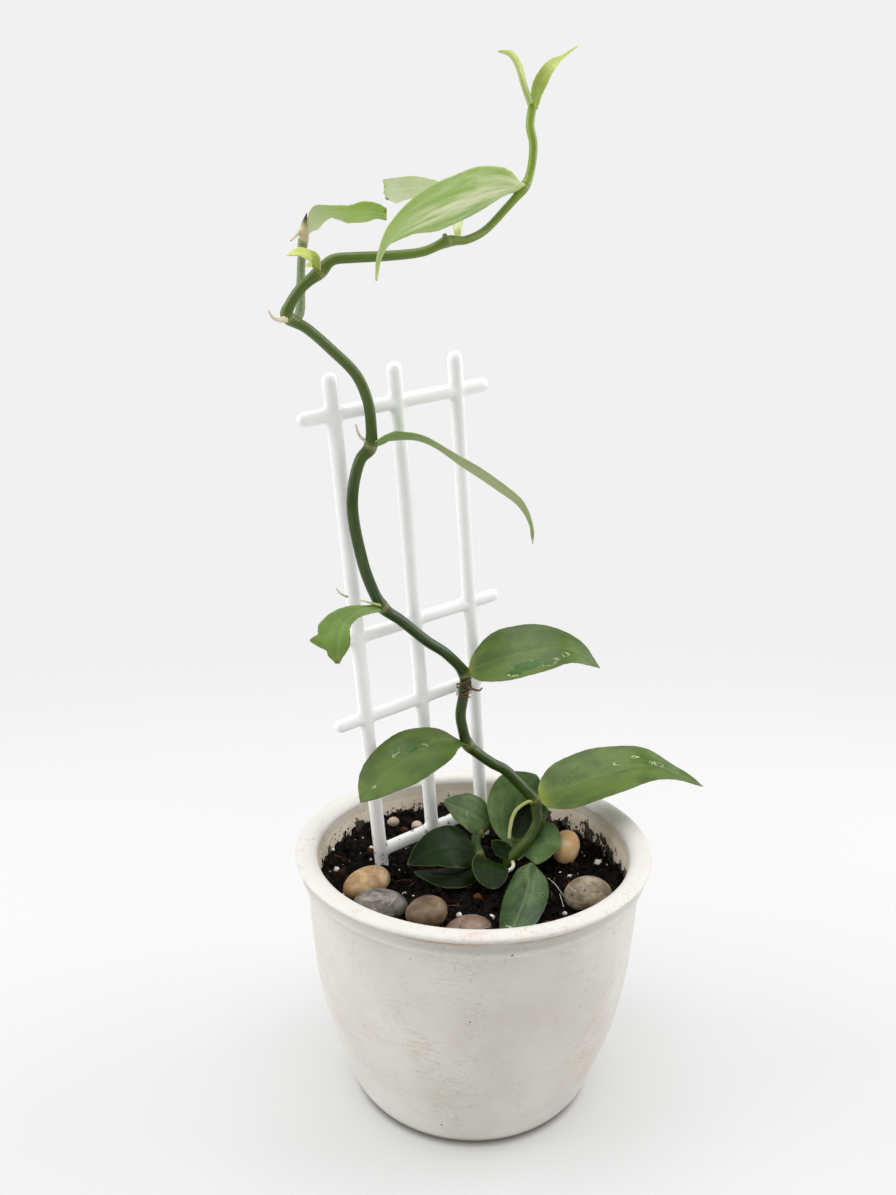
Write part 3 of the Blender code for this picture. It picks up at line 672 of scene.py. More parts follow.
@dataclass(frozen=True)
class Whitewash(Finish):
    """The pot's finish: thin white paint over a tan body, brushed, worn and specked.

    Each pair of heights, in millimetres, says where an effect starts and where it is in full. On the lip the
    outer side is told from the inner one by its distance from the axis.
    """

    name: str = "whitewash"
    white: Colour = rgb(218, 216, 209)
    bright: Colour = rgb(215, 212, 206)
    grey: Colour = rgb(196, 194, 186)
    # The inner wall's colour: partly its own cream, partly painted light, lighter than the outside white to
    # lift the wall's shade.
    cream: Colour = rgb(250, 238, 220)
    tan: Colour = rgb(178, 144, 116)
    foot: Colour = rgb(120, 94, 70)
    pink: Colour = rgb(206, 182, 166)
    stain: Colour = rgb(208, 186, 156)
    soil: Colour = rgb(30, 23, 18)
    speck: Colour = rgb(84, 72, 62)
    lip_rise: tuple = (112.0, 113.8)
    lip_dabs: tuple = (111.5, 113.0)
    lip_outside: tuple = (74.5, 76.5)
    # The groove between collar and lip is painted grey as shade.
    groove: tuple = ((108.0, 109.2), (113.6, 112.4))
    under_lip: tuple = ((110.6, 112.4), (115.0, 113.4))
    smudged: tuple = (95.0, 70.0)
    worn: tuple = (98.0, 70.0)
    foot_line: tuple = (5.0, 1.0)
    inner_cream_lift: tuple = (115.0, 113.0)
    inner_stain: tuple = (114.5, 111.5)
    inner_tide: tuple = (102.2, 100.8)
    inner_crumbs: tuple = (113.0, 104.0)
    tide_swing: float = -42.0

    def hair_lines(self, graph: Graph) -> tuple[Socket, Socket]:
        """The fine lines in the paint.

        Args:
            graph: The material's tree.

        Returns:
            Two masks: lines where a noise crosses its middle, and the edges of bent Voronoi cells.
        """
        thin = graph.grain(60.0, 5.0, 0.6, 1.6, (1, 1, 3), (0.5, 0.35, 0.2))
        lines = graph.product(graph.span(graph.apart(thin, 0.5), 0.012, 0.0),
                              graph.span(graph.grain(34.0, 2.0), 0.52, 0.62))
        drift = graph.node("TexNoise", {"Vector": graph.place, "Scale": 90.0}, "Color")
        bent = graph.node("VectorMath", {0: drift, 1: (0.012, 0.012, 0.012), 2: graph.place},
                          operation="MULTIPLY_ADD")
        crack = graph.node("TexVoronoi", {"Vector": bent, "Scale": 290.0}, "Distance",
                           feature="DISTANCE_TO_EDGE")
        crazing = graph.product(graph.span(crack, 0.08, 0.0), graph.span(graph.grain(75.0, 4.0), 0.50, 0.62))
        return lines, crazing

    def inputs(self, graph: Graph) -> dict[str, object]:
        """White with grey clouds, painted shade in the groove under the lip, pink-tan brush wear, tan lines
        at lip and foot, and a stained inner wall that painted light makes lighter.

        Args:
            graph: The material's tree.

        Returns:
            The colour, the roughness and the relief.
        """
        inner = graph.attribute("inner")
        outside = graph.span(graph.off_axis(), self.lip_outside[0] * MM, self.lip_outside[1] * MM)
        smudge = graph.grain(19.0, 4.0, 0.6, 0.5, (1, 1, 1.4))
        patches = graph.grain(26.0, 3.0, 0.6, 0.4, (1, 1, 1.7), (0.25, 0.1, 0))
        strokes = graph.grain(110.0, 4.0, 0.65, 0.6, (1, 1, 7), (0.16, 0.1, 0))
        brush = graph.grain(45.0, 4.0, 0.6, 0.3, (1, 1, 3))
        dabs = graph.grain(85.0, 5.0, 0.65, 0.4, (1, 1, 2.2))
        damp = graph.grain(130.0, 5.0, 0.7, 0.0, (1, 1, 0.8))
        lines, crazing = self.hair_lines(graph)
        inside = graph.product(inner, graph.rise(*self.inner_stain))
        band = graph.span(graph.grain(60.0, 5.0, 0.65), 0.34, 0.66, 0.05, 0.6)
        tide = graph.math("ADD", graph.xyz[2], graph.swing(damp, self.tide_swing * MM))
        soaked = graph.span(tide, self.inner_tide[0] * MM, self.inner_tide[1] * MM)
        groove = [graph.rise(*heights) for heights in self.groove]
        under_lip = [graph.rise(*heights) for heights in self.under_lip]
        specks = graph.specks(170.0, 0.11, 0.30)
        colour = graph.coats(
            self.white,
            (self.grey, graph.patches(22.0, 0.35), 0.55),
            (self.bright, graph.rise(*self.lip_rise)),
            # Partly real cream, partly painted light lifting the inner wall's shade.
            (self.cream, inner, graph.rise(*self.inner_cream_lift)),
            # Painted shade: grey in the groove under the lip.
            (self.grey, *groove, 0.5),
            (self.pink, graph.span(smudge, 0.48, 0.72), graph.rise(*self.smudged), 0.34),
            (self.pink, graph.span(patches, 0.48, 0.68), graph.span(strokes, 0.46, 0.66),
             graph.rise(*self.worn), 0.62),
            (self.tan, lines, 0.6),
            (self.tan, crazing, 0.16),
            (self.pink, graph.rise(*self.lip_dabs), outside, graph.span(dabs, 0.55, 0.70), 0.55),
            (self.tan, *under_lip, outside, graph.span(brush, 0.40, 0.58), 0.75),
            (self.foot, graph.rise(*self.foot_line), graph.span(brush, 0.1, 0.4), 0.95),
            (self.stain, inside, band),
            (self.soil, inside, soaked, 0.95),
            (self.soil, inside, graph.specks(520.0, 0.42, 0.16), graph.rise(*self.inner_crumbs), 0.9),
            (self.speck, specks, 0.7),
        )
        return {"Base Color": colour, "Roughness": graph.total(0.36, (strokes, 0.18), (inside, 0.2)),
                "Height": graph.total(0.0, (strokes, 0.05), (specks, -0.08))}


@dataclass
class Pot:
    """The pot's sizes, in millimetres: its outer curve, collar and rolled lip, its wall and drain holes."""

    foot_radius: float = 51.5
    wall: float = 5.0
    floor: float = 8.0
    body: tuple = ((8, 56.9), (20, 61.0), (35, 66.3), (55, 70.7), (75, 73.1), (95, 74.5), (104, 74.8))
    collar: tuple = ((104, 74.8), (105.4, 75.9), (106.6, 77.2), (107.7, 77.7), (108.8, 77.2), (110.2, 76.7),
                     (112.5, 76.6))
    lip: tuple = ((112.8, 76.7), (113.2, 78.1), (114.0, 79.4), (115.0, 80.0), (116.0, 79.4), (116.8, 77.8),
                  (117, 76.2), (116.8, 74.2), (116.1, 72.5), (114.9, 71.1), (113.4, 70.4), (111.8, 70.3))
    inner_neck: tuple = ((104, 70.0), (111.8, 70.3))
    foot_turn: tuple = (3, 53.9)
    widest: float = 79.5
    sides: int = 240
    step: float = 1.3
    fine_step: float = 0.52
    wobble: float = 0.1
    drain_radius: float = 4.0
    drain_ring: float = 22.0
    drain_count: int = 3
    drain_sides: int = 32

    def inward(self, rows: tuple, step: float) -> Array:
        """A smooth line through rows of (height, radius), run backwards, as rows of (radius, height)."""
        return smooth_route(tuple((radius, height) for height, radius in reversed(rows)), step)

    def profile(self) -> Array:
        """The line that is turned: out along the floor, up the inner wall, over the lip, down to the foot.

        Returns:
            Rows of (radius, height, 1 where the line faces the pot's inside or 0 elsewhere).
        """
        foot, floor = self.foot_radius, self.floor
        inner = [(foot - self.wall + 3, floor + 4)]
        inner += [(radius - self.wall, height) for height, radius in self.body[1:-1]]
        inner += [(radius, height) for height, radius in self.inner_neck]
        pieces = [
            np.array([(0.5, floor), (20, floor), (foot - self.wall - 2, floor)], float),
            smooth_route(tuple(inner), self.step),
            self.inward(self.lip, self.fine_step)[1:],
            self.inward(self.collar, self.fine_step),
            self.inward((self.foot_turn,) + self.body, self.step)[1:],
            np.array([(foot + 1.3, 1.4), (foot, 0.4), (foot - 1.5, 0.0), (20, 0.0), (0.5, 0.0)], float),
        ]
        faces_in = np.concatenate([np.full(len(piece), i < 2) for i, piece in enumerate(pieces)])
        return np.column_stack([np.vstack(pieces), faces_in])

    def surface(self) -> Surface:
        """The profile turned about Z, with a slow wobble of a tenth of a millimetre from hand work."""
        radius, height, faces_in = (column[:, None] for column in self.profile().T)
        rings = round_points(radius, turns(self.sides), height)
        outward = rings * (1, 1, 0) / np.maximum(radius[..., None], 1)
        reach = np.clip(height / 20, 0, 1) * (radius < self.widest)
        wobble = self.wobble * (rough_noise(rings, 34.0, 3, 5) - 1) * reach
        return Surface.of_rings(rings + outward * wobble[..., None], {"inner": faces_in})

    def build(self) -> None:
        """The pot with its drain holes cut through its floor."""
        pot = add_piece("whitewashed_pot", self.surface(), Whitewash(), ("pot",))
        depth = np.linspace(-6, self.floor + 6, 4)
        for turn in turns(self.drain_count):
            route = round_points(self.drain_ring, turn, depth)
            cutter = add_object("drain", tube(route, self.drain_radius, self.drain_sides).mesh("drain"))
            cut = pot.modifiers.new("Drain", "BOOLEAN")
            cut.object = cutter
            apply_modifiers(pot)
            bpy.data.objects.remove(cutter)


# Soil


@dataclass(frozen=True)
class SoilFinish(Finish):
    """Moist black-brown potting mix; each crumb's tone moves it towards bark."""

    name: str = "moist_soil"
    black: Colour = rgb(6, 5, 4)
    brown: Colour = rgb(38, 26, 18)
    bark: Colour = rgb(104, 64, 40)
    bump = 0.9

    def inputs(self, graph: Graph) -> dict[str, object]:
        """Nearly black with brown patches, crumbs of bark by tone, and a wet glint here and there."""
        colour = graph.coats(
            self.black,
            (self.brown, graph.patches(300.0, 0.35), 0.45),
            (self.bark, graph.span(graph.attribute("tone"), 0.84, 1.0, 0.0, 0.75)),
        )
        grain = graph.grain(1500.0, 4.0, 0.7)
        wet = graph.span(graph.grain(420.0, 2.0), 0.60, 0.70)
        rough = graph.total(graph.span(grain, 0.3, 0.7, 0.7, 0.95), (wet, -0.45))
        return {"Base Color": colour, "Roughness": rough, "Height": graph.product(grain, 0.6)}

    def constants(self) -> dict[str, float]:
        """A dull surface."""
        return {"Specular IOR Level": 0.14}


@dataclass(frozen=True)
class GrainFinish(Finish):
    """A plain natural finish with soft patches of a second colour: perlite, dry fibre and the like."""

    name: str
    pale: Colour
    deep: Colour
    roughness: float = 0.85
    bump = 0.5

    def inputs(self, graph: Graph) -> dict[str, object]:
        """The pale colour with patches of the deep one and a fine grain."""
        return {"Base Color": graph.coats(self.pale, (self.deep, graph.patches(700.0, 0.4))),
                "Height": graph.product(graph.grain(2600.0, 2.0), 0.2)}

    def constants(self) -> dict[str, float]:
        """Its one roughness."""
        return {"Roughness": self.roughness}


PERLITE = GrainFinish("perlite", rgb(244, 240, 230), rgb(212, 204, 190))
DRY_FIBRE = GrainFinish("dry_fibre", rgb(140, 100, 70), rgb(84, 54, 38))
HAIR = GrainFinish("hair_root", rgb(226, 218, 200), rgb(184, 172, 150))
THREAD_REFERENCE = (0.1, 0.2, 1.0)


@dataclass
class Soil:
    """The soil: its level, its crumbly relief, and the loose bits on it."""

    top: float = 97.0
    back_rise: float = 4.0
    bump: float = 0.8
    gap: float = 0.3
    rings: int = 150
    sides: int = 420
    walls: tuple = ((20, 56.0), (35, 61.3), (55, 65.7), (75, 68.1), (95, 69.5), (104, 70.0))
    skirt: tuple = (88, 75, 55, 35, 20)
    underside: tuple = ((48.0, 12.3), (43.0, 8.3), (0.5, 8.3))
    strewn_radius: float = 68.0
    fibre_radius: float = 68.3
    splash_top: float = 112.0
    seed: int = 41
    clods: int = 2300
    splashes: int = 420
    flakes: int = 260
    fibres: int = 110
    fibre_points: int = 7
    grains: int = 70
    hairs: tuple = (((27.7, -20.4, 99), (22.4, -32.7, 103), (23.1, -39, 99)),
                    ((21.3, -37, 101), (18.3, -43.7, 99)))
    big_grains: tuple = (
        (-50, 39, 2.2), (-45, 53, 1.5), (-27, 48, 1.6), (-57, 17, 1.9), (-35, 2, 1.2), (-31, 1, 1.4),
        (-23, -24, 2.0), (-12, -33, 1.9), (58, -20, 2.6), (60, -23, 2.0), (38, -23, 1.3), (36, -19, 1.1),
        (18, -45, 1.5), (52, 6, 1.2),
    )

    def wall_radius(self, height: Array | float) -> Array:
        """The pot's inner radius at a height."""
        return np.interp(height, *zip(*self.walls))

    def relief(self, x: Array, y: Array) -> Array:
        """The bed's relief: low waves, a bank against the back wall, lumps of several sizes, a ragged rim.

        Args:
            x: The places' X, in millimetres.
            y: Their Y.

        Returns:
            How high the bed stands above its level there, in millimetres.
        """
        waves = np.sin(0.21 * x + 1.0) * np.cos(0.27 * y) + 0.6 * np.sin(0.43 * x - 0.38 * y + 2.0)
        edge = np.clip((np.hypot(x, y) - 50) / 18, 0, 1)
        bank = self.back_rise * edge * np.clip(y / 60, 0, 1)
        flat = np.stack([x, y, 0 * x], -1)
        coarse = np.abs(rough_noise(flat, 7.0, 2, 3)) * 2.9
        lumps = coarse + np.abs(rough_noise(flat, 2.4, 3, 9)) * 1.7 - 2.1
        rag = edge ** 3 * value_noise(flat, 5.0, 21) * 2.0
        return self.bump * 0.6 * waves + bank + lumps + rag

    def on_bed(self, reach: Array, turn: Array, sink: float = 0.0) -> Array:
        """Points on the bed at a distance from the axis and an angle about it, sunk by that much."""
        x, y = reach * np.cos(turn), reach * np.sin(turn)
        return np.stack([x, y, self.top + self.relief(x, y) - sink], -1)

    def surface(self) -> Surface:
        """The bed: rings from the middle out to the wall, then down the wall and in underneath."""
        turn = turns(self.sides)
        wall = float(self.wall_radius(self.top)) - self.gap
        bed = self.on_bed(wall * np.linspace(0.004, 1, self.rings)[:, None], turn)
        low = [(self.wall_radius(height) - self.gap, height) for height in self.skirt] + list(self.underside)
        rings = np.concatenate([bed, np.stack([round_points(reach, turn, height) for reach, height in low])])
        return Surface.of_rings(rings, {"tone": np.zeros(rings.shape[:2])})

    def spread(self, count: int, rng: Draw, sink: float = 0.0) -> Array:
        """Random points on the bed, evenly over its area, sunk by that much."""
        reach = self.strewn_radius * np.sqrt(rng.uniform(0, 1, count))
        return self.on_bed(reach, rng.uniform(0, 2 * math.pi, count), sink)

    def crumbs(self, rng: Draw) -> Surface:
        """Clods, a few large and most small, and flat flakes of bark, strewn over the bed."""
        size = 0.45 + 2.3 * rng.random(self.clods) ** 4
        sizes = size[:, None] * rng.uniform(0.65, 1.3, (self.clods, 3))
        places = self.spread(self.clods, rng, 0.1)
        clods = ball(4, 7).scattered(places, random_frames(sizes, rng), rng, 0.3)
        length = rng.uniform(1.2, 3.2, self.flakes)
        sizes = np.stack([length, length * 0.35, np.full(self.flakes, 0.3)], 1)
        places = self.spread(self.flakes, rng)
        flakes = ball(3, 6).scattered(places, random_frames(sizes, rng, 0.6), rng, 0.2)
        return Surface.joined([clods, flakes])

    def splash(self, rng: Draw) -> Surface:
        """Crumbs that cling to the inner wall, dense at the soil and fewer above it, most at the back.

        Args:
            rng: The random draw.

        Returns:
            All of them as one surface.
        """
        turn = rng.uniform(0, 2 * math.pi, self.splashes)
        back = 0.35 + 0.65 * (np.sin(turn) > -0.2)
        rise = rng.exponential(4.0, self.splashes) * back
        size = rng.uniform(0.4, 1.9, self.splashes) * np.exp(-rise / 6)
        base = self.top + self.back_rise * np.clip(np.sin(turn), 0, 1)
        height = np.minimum(base - 1.0 + rise, self.splash_top)
        places = round_points(self.wall_radius(height) - size * 0.3, turn, height)
        outward = round_points(1.0, turn, 0.0)
        sideways = np.stack([-np.sin(turn), np.cos(turn), 0 * turn], 1)
        up = np.broadcast_to((0.0, 0.0, 1.0), outward.shape)
        tall = size * rng.uniform(0.6, 1.1, self.splashes)
        axes = zip((outward, sideways, up), (size * 0.45, size * 0.8, tall))
        frames = np.stack([axis * length[:, None] for axis, length in axes], -1)
        return ball(3, 6).scattered(places, frames, rng, 0.28)

    def perlite(self, rng: Draw) -> Surface:
        """White grains: the large ones where the photo shows them, the small ones anywhere."""
        large = np.array(self.big_grains)
        height = self.top + self.relief(large[:, 0], large[:, 1]) + 0.3 * large[:, 2]
        radii = np.r_[large[:, 2], rng.uniform(0.25, 0.75, self.grains)] * 0.75
        places = np.vstack([np.column_stack([large[:, :2], height]), self.spread(self.grains, rng)])
        sizes = radii[:, None] * rng.uniform(0.75, 1.2, (len(radii), 3))
        return ball(5, 8).scattered(places, random_frames(sizes, rng), rng, 0.16)

    def threads(self, rng: Draw) -> Surface:
        """Dry fibres: each a thin tube along a line that bows to one side and up as s (1 - s) does.

        Args:
            rng: The random draw.

        Returns:
            All of them as one surface.
        """
        starts = self.spread(self.fibres, rng)
        heading = rng.uniform(0, 2 * math.pi, self.fibres)
        length = rng.uniform(3, 10, self.fibres)
        s = np.linspace(0, 1, self.fibre_points)[:, None]
        bow = s * (1 - s) * 4
        strands = []
        for start, turn, reach in zip(starts, heading, length):
            away = np.array((math.cos(turn), math.sin(turn), 0.0))
            side = np.array((-away[1], away[0], 0.0))
            route = start + away * reach * s + side * bow * rng.uniform(-1, 1)
            route = route + (0, 0, 1) * bow * rng.uniform(0.1, 1.2)
            route[:, :2] *= np.minimum(1, self.fibre_radius / np.hypot(route[:, 0], route[:, 1]))[:, None]
            strands.append(tube(route, np.linspace(0.16, 0.08, self.fibre_points), 4, THREAD_REFERENCE))
        return Surface.joined(strands)

    def build(self) -> None:
        """The bed, its crumbs, those on the wall, the perlite, the loose fibres and the hair-fine roots."""
        rng = np.random.default_rng(self.seed)
        soil = SoilFinish()
        hairs = [tube(smooth_route(hair, 0.8), 0.17, 8, THREAD_REFERENCE) for hair in self.hairs]
        add_piece("soil_bed", self.surface(), soil, ("soil",))
        add_piece("soil_crumbs", self.crumbs(rng), soil)
        add_piece("wall_crumbs", self.splash(rng), soil)
        add_piece("perlite", self.perlite(rng), PERLITE)
        add_piece("soil_fibres", self.threads(rng), DRY_FIBRE)
        add_piece("hair_roots", Surface.joined(hairs), HAIR)


# Pebbles


@dataclass(frozen=True)
class StoneFinish(Finish):
    """A river pebble's finish: its colour, darker clouds, and layers of a third colour, bent and tilted."""

    name: str
    base: Colour
    dark: Colour
    vein: Colour
    layers: float = 0.4
    tilt: tuple = (0.4, 0.3, 0.0)
    across: float = 260.0

    def inputs(self, graph: Graph) -> dict[str, object]:
        """Clouds over the base colour, bent layers, small pits and a soft water-worn shine."""
        bands = graph.grain(self.across, 4.0, 0.6, 0.5, (0.25, 0.25, 1.0), self.tilt)
        pits = graph.specks(500.0, 0.42, 0.3)
        grain = graph.grain(1600.0, 3.0)
        colour = graph.coats(
            self.base,
            (self.dark, graph.patches(130.0, 0.3), 0.8),
            (self.vein, graph.span(bands, 0.50, 0.66), self.layers),
            (self.dark, pits, 0.55),
        )
        return {"Base Color": colour, "Roughness": graph.total(0.38, (grain, 0.25)),
                "Height": graph.total(0.0, (grain, 0.12), (pits, -0.12))}


@dataclass(frozen=True)
class Pebble:
    """A stone: its centre, half its three lengths, its turn about Z, its finish and its slot."""

    centre: tuple
    half: tuple
    turn: float
    finish: StoneFinish
    slot: str
    bean: float = 0.0

    def surface(self) -> Surface:
        """A sphere with a slow swell, drawn out to its lengths, pinched on one side by bean, and turned."""
        stone = ball(38, 56)
        x, y, z = stone.points.T
        swell = 1 + 0.05 * np.sin(2.1 * x + 1.3 * z + self.turn) + 0.04 * np.cos(2.7 * y - self.turn)
        swell *= 1 + 0.012 * rough_noise(stone.points, 0.6, 3, int(abs(self.turn)))
        swell *= 1 - self.bean * np.exp(-((x / 0.35) ** 2 + ((y + 1) / 0.5) ** 2))
        local = stone.points * swell[:, None] * self.half
        c, s = math.cos(math.radians(self.turn)), math.sin(math.radians(self.turn))
        stone.points = local @ np.array(((c, s, 0), (-s, c, 0), (0, 0, 1))) + self.centre
        return stone


TAN = StoneFinish("tan_stone", rgb(208, 174, 128), rgb(136, 100, 64), rgb(230, 206, 170), 0.45)
GREY = StoneFinish("grey_stone", rgb(116, 110, 102), rgb(60, 56, 54), rgb(176, 168, 158), 0.6,
                   (0.7, 0.5, 0.0), 420.0)
BROWN = StoneFinish("brown_stone", rgb(126, 104, 78), rgb(70, 54, 40), rgb(164, 142, 114), 0.35)
RUSSET = StoneFinish("russet_stone", rgb(138, 116, 98), rgb(86, 66, 54), rgb(186, 166, 148), 0.5,
                     (0.2, 0.9, 0.0), 300.0)
ORANGE = StoneFinish("orange_stone", rgb(255, 226, 178), rgb(240, 182, 116), rgb(255, 246, 226), 0.5)
DRAB = StoneFinish("drab_stone", rgb(170, 154, 130), rgb(84, 70, 56), rgb(212, 198, 174), 0.5)
PALE = StoneFinish("pale_stone", rgb(196, 176, 156), rgb(150, 126, 106), rgb(220, 206, 190), 0.3)
PEBBLES = {
    "pebble_tan": Pebble((-46, 16, 100.6), (13.2, 8, 6.1), 20, TAN, "tan_pebble", 0.12),
    "pebble_grey": Pebble((-50, -3, 100), (12, 8.5, 6.5), -30, GREY, "grey_pebble"),
    "pebble_brown": Pebble((-36, -19, 101), (9.5, 8, 7.2), 10, BROWN, "brown_pebble"),
    "pebble_front": Pebble((-25, -34, 97.6), (9.6, 7.2, 5.2), -20, RUSSET, "brown_pebble"),
    "pebble_orange": Pebble((49, -6, 102), (8, 7, 8), 30, ORANGE, "orange_pebble"),
    "pebble_right": Pebble((31, -44, 101), (10.5, 8.5, 7.5), -25, DRAB, "brown_pebble"),
    "chip_left": Pebble((-7, 62, 101), (3.2, 2.6, 2.4), 0, PALE, "pale_chip"),
    "chip_right": Pebble((3, 55, 99.5), (3.2, 2.6, 2.4), 40, PALE, "pale_chip"),
}


def build_pebbles() -> None:
    """Every pebble."""
    for name, pebble in PEBBLES.items():
        add_piece("stone_" + name, pebble.surface(), pebble.finish, (name,))


# Trellis


@dataclass(frozen=True)
class PlasticFinish(Finish):
    """Glossy white moulded plastic, with soil specks and smears up to a height, in millimetres."""

    name: str = "white_moulding"
    white: Colour = rgb(238, 238, 237)
    dull: Colour = rgb(230, 231, 228)
    soil: Colour = rgb(44, 34, 27)
    specked: tuple = (120.0, 103.0)
    smeared: tuple = (108.0, 99.0)
    bump = 0.5

    def inputs(self, graph: Graph) -> dict[str, object]:
        """White with faint dull clouds, and soil smears and specks on the lowest few centimetres."""
        smear = graph.grain(260.0, 4.0, 0.6, 0.0, (1, 1, 0.6))
        dirt = graph.product(graph.span(smear, 0.42, 0.6), graph.rise(*self.smeared))
        colour = graph.coats(
            self.white,
            (self.dull, graph.patches(55.0, 0.4), 0.5),
            (self.soil, graph.specks(330.0, 0.55, 0.5), graph.rise(*self.specked)),
            (self.soil, dirt, 0.8),
        )
        return {"Base Color": colour, "Roughness": graph.total(0.24, (dirt, 0.5)),
                "Height": graph.product(graph.grain(180.0, 2.0), 0.1)}

    def constants(self) -> dict[str, float]:
        """A painted glow, a little light of its own that lifts the shaded sides, standing in for light
        through the thin plastic.
        """
        # Painted glow: the plastic gives off light though it is no lamp.
        return {"Emission Strength": 0.1}


@dataclass
class Trellis:
    """The trellis: where its lowest bar crosses its first post, its lean and its rods, in millimetres."""

    crossing: tuple = (-30.18, 32.6, 105.0)
    tilt: float = 6.08
    lean: float = -8.52
    pitch: float = 28.4
    posts: int = 3
    post_radius: float = 3.25
    post_top: float = 220.0
    leg: float = 44.0
    bar_radius: float = 3.05
    bars: tuple = (0.0, 71.9, 110.8, 207.0)
    overhang: float = 12.5
    sides: int = 28
    dome_rings: int = 7
    voxel: float = 0.62
    fillet_rounds: int = 10

    def rod(self, start: tuple, end: tuple, radius: float) -> Surface:
        """A round rod with domed ends, between two points given along the bars and up the posts."""
        turn = (Matrix.Rotation(math.radians(self.tilt), 3, "X")
                @ Matrix.Rotation(math.radians(self.lean), 3, "Y"))
        a, b = (np.array(self.crossing) + np.array(turn @ Vector((u, 0, v))) for u, v in (start, end))
        along = unit(b - a)
        dome = np.sin(np.linspace(0.08, math.pi / 2, self.dome_rings))
        back = np.sqrt(1 - dome ** 2)[:, None] * radius * along
        length = np.linspace(0, 1, max(4, round(np.linalg.norm(b - a) / 2)))[:, None]
        route = np.vstack([a - back, a + (b - a) * length[1:-1], b + back[::-1]])
        size = np.r_[dome * radius, np.full(len(length) - 2, radius), dome[::-1] * radius]
        return tube(route, size, self.sides, (0.3, 1.0, 0.2))

    def build(self) -> None:
        """All the rods as one moulding: remeshed into one skin and smoothed, which fillets each joint."""
        width = self.pitch * (self.posts - 1)
        rods = [self.rod((i * self.pitch, -self.leg), (i * self.pitch, self.post_top), self.post_radius)
                for i in range(self.posts)]
        for height in self.bars:
            over = self.overhang if height else 0.0
            rods.append(self.rod((-over, height), (width + over, height), self.bar_radius))
        piece = add_piece("trellis_moulding", Surface.joined(rods), PlasticFinish(),
                          ("trellis",))
        remesh = piece.modifiers.new("One skin", "REMESH")
        remesh.mode = "VOXEL"
        remesh.voxel_size = self.voxel * MM
        smooth = piece.modifiers.new("Fillets", "SMOOTH")
        smooth.factor = 0.5
        smooth.iterations = self.fillet_rounds
        apply_modifiers(piece)


# Stems


@dataclass(frozen=True)
class StemFinish(Finish):
    """A shoot's skin: old and young green, the light streaks along it and the scars at its nodes."""

    name: str
    old: Colour
    young: Colour
    streak: Colour
    scar: Colour = rgb(150, 150, 96)
    roughness: float = 0.36
    bump = 0.7

    def inputs(self, graph: Graph) -> dict[str, object]:
        """Green by age, with streaks along the shoot and a pale band with a dark line at each node."""
        u, v = graph.uv
        age, node = graph.attribute("age"), graph.attribute("node")
        turn = graph.product(u, 2 * math.pi)
        lanes = graph.vector(graph.product(graph.math("COSINE", turn), 2.4),
                             graph.product(graph.math("SINE", turn), 2.4), graph.product(v, 26.0))
        fibre = graph.noise(lanes, 1.6, 4.0, 0.6)
        rim = graph.span(graph.apart(node, 1.1), 0.35, 0.1)
        colour = graph.coats(
            self.old,
            (self.young, age),
            (self.streak, graph.patches(90.0, 0.4), 0.22),
            (self.streak, graph.span(fibre, 0.50, 0.68, 0.0, 0.45)),
            (self.scar, graph.span(node, 2.4, 0.6, 0.0, 0.45)),
            (self.old, rim, 0.5),
        )
        return {"Base Color": colour, "Roughness": graph.total(self.roughness, (fibre, 0.1)),
                "Height": graph.total(0.0, (fibre, 0.25), (rim, -0.1))}

    def constants(self) -> dict[str, float]:
        """A skin a little duller than plain plastic."""
        return {"Specular IOR Level": 0.42}


@dataclass(frozen=True)
class Stem:
    """A round shoot in millimetres: its route, its radius from end to end, its nodes and their swelling."""

    route: tuple
    radii: tuple
    nodes: tuple = ()
    swelling: float = 0.5
    node_length: float = 3.2
    ages: tuple = (0.0, 1.0)
    step: float = 0.7
    sides: int = 24
    ridges: int = 6
    ridge_height: float = 0.022

    def surface(self) -> Surface:
        """A circle carried along the route, with low ridges, wider by a bell curve at each node."""
        route = smooth_route(self.route, self.step)
        share = np.linspace(0, 1, len(route))[:, None]
        radius = stepped(share, self.radii)
        near = np.full_like(share, NODE_FAR)
        for node in self.nodes:
            reach = np.linalg.norm(route - np.array(node, float), axis=1)[:, None]
            radius = radius + self.swelling * np.exp(-(reach / self.node_length) ** 2)
            near = np.minimum(near, reach)
        ridge = 1 + self.ridge_height * np.cos(self.ridges * turns(self.sides)[None] + 3 * share * math.pi)
        values = {"age": stepped(share, self.ages), "node": near}
        return tube(route, radius * ridge, self.sides, (0.1, 1.0, 0.05), values)


NODE_FAR = 50.0
VINE_FINISH = StemFinish("vine_skin", rgb(28, 48, 10), rgb(140, 166, 56), rgb(84, 110, 42),
                         rgb(158, 158, 96), 0.24)
OLD_SHOOT_FINISH = StemFinish("old_shoot_skin", rgb(92, 112, 66), rgb(118, 136, 92), rgb(170, 178, 142))
ROOT_FINISH = StemFinish("green_root_skin", rgb(160, 168, 78), rgb(206, 206, 148), rgb(204, 206, 140))
CREAM_FINISH = StemFinish("cream_root_skin", rgb(206, 196, 160), rgb(226, 214, 190), rgb(238, 230, 210),
                          rgb(186, 160, 126), 0.6)
BROWN_FINISH = StemFinish("brown_root_skin", rgb(92, 62, 40), rgb(136, 98, 66), rgb(164, 130, 98),
                          rgb(70, 46, 30), 0.7)
SHEATH_FINISH = StemFinish("dry_sheath_skin", rgb(226, 212, 170), rgb(34, 22, 16), rgb(96, 66, 44),
                           rgb(90, 62, 40), 0.6)
WHITE_TIP_FINISH = StemFinish("white_root_skin", rgb(224, 214, 190), rgb(244, 238, 222), rgb(244, 238, 222))

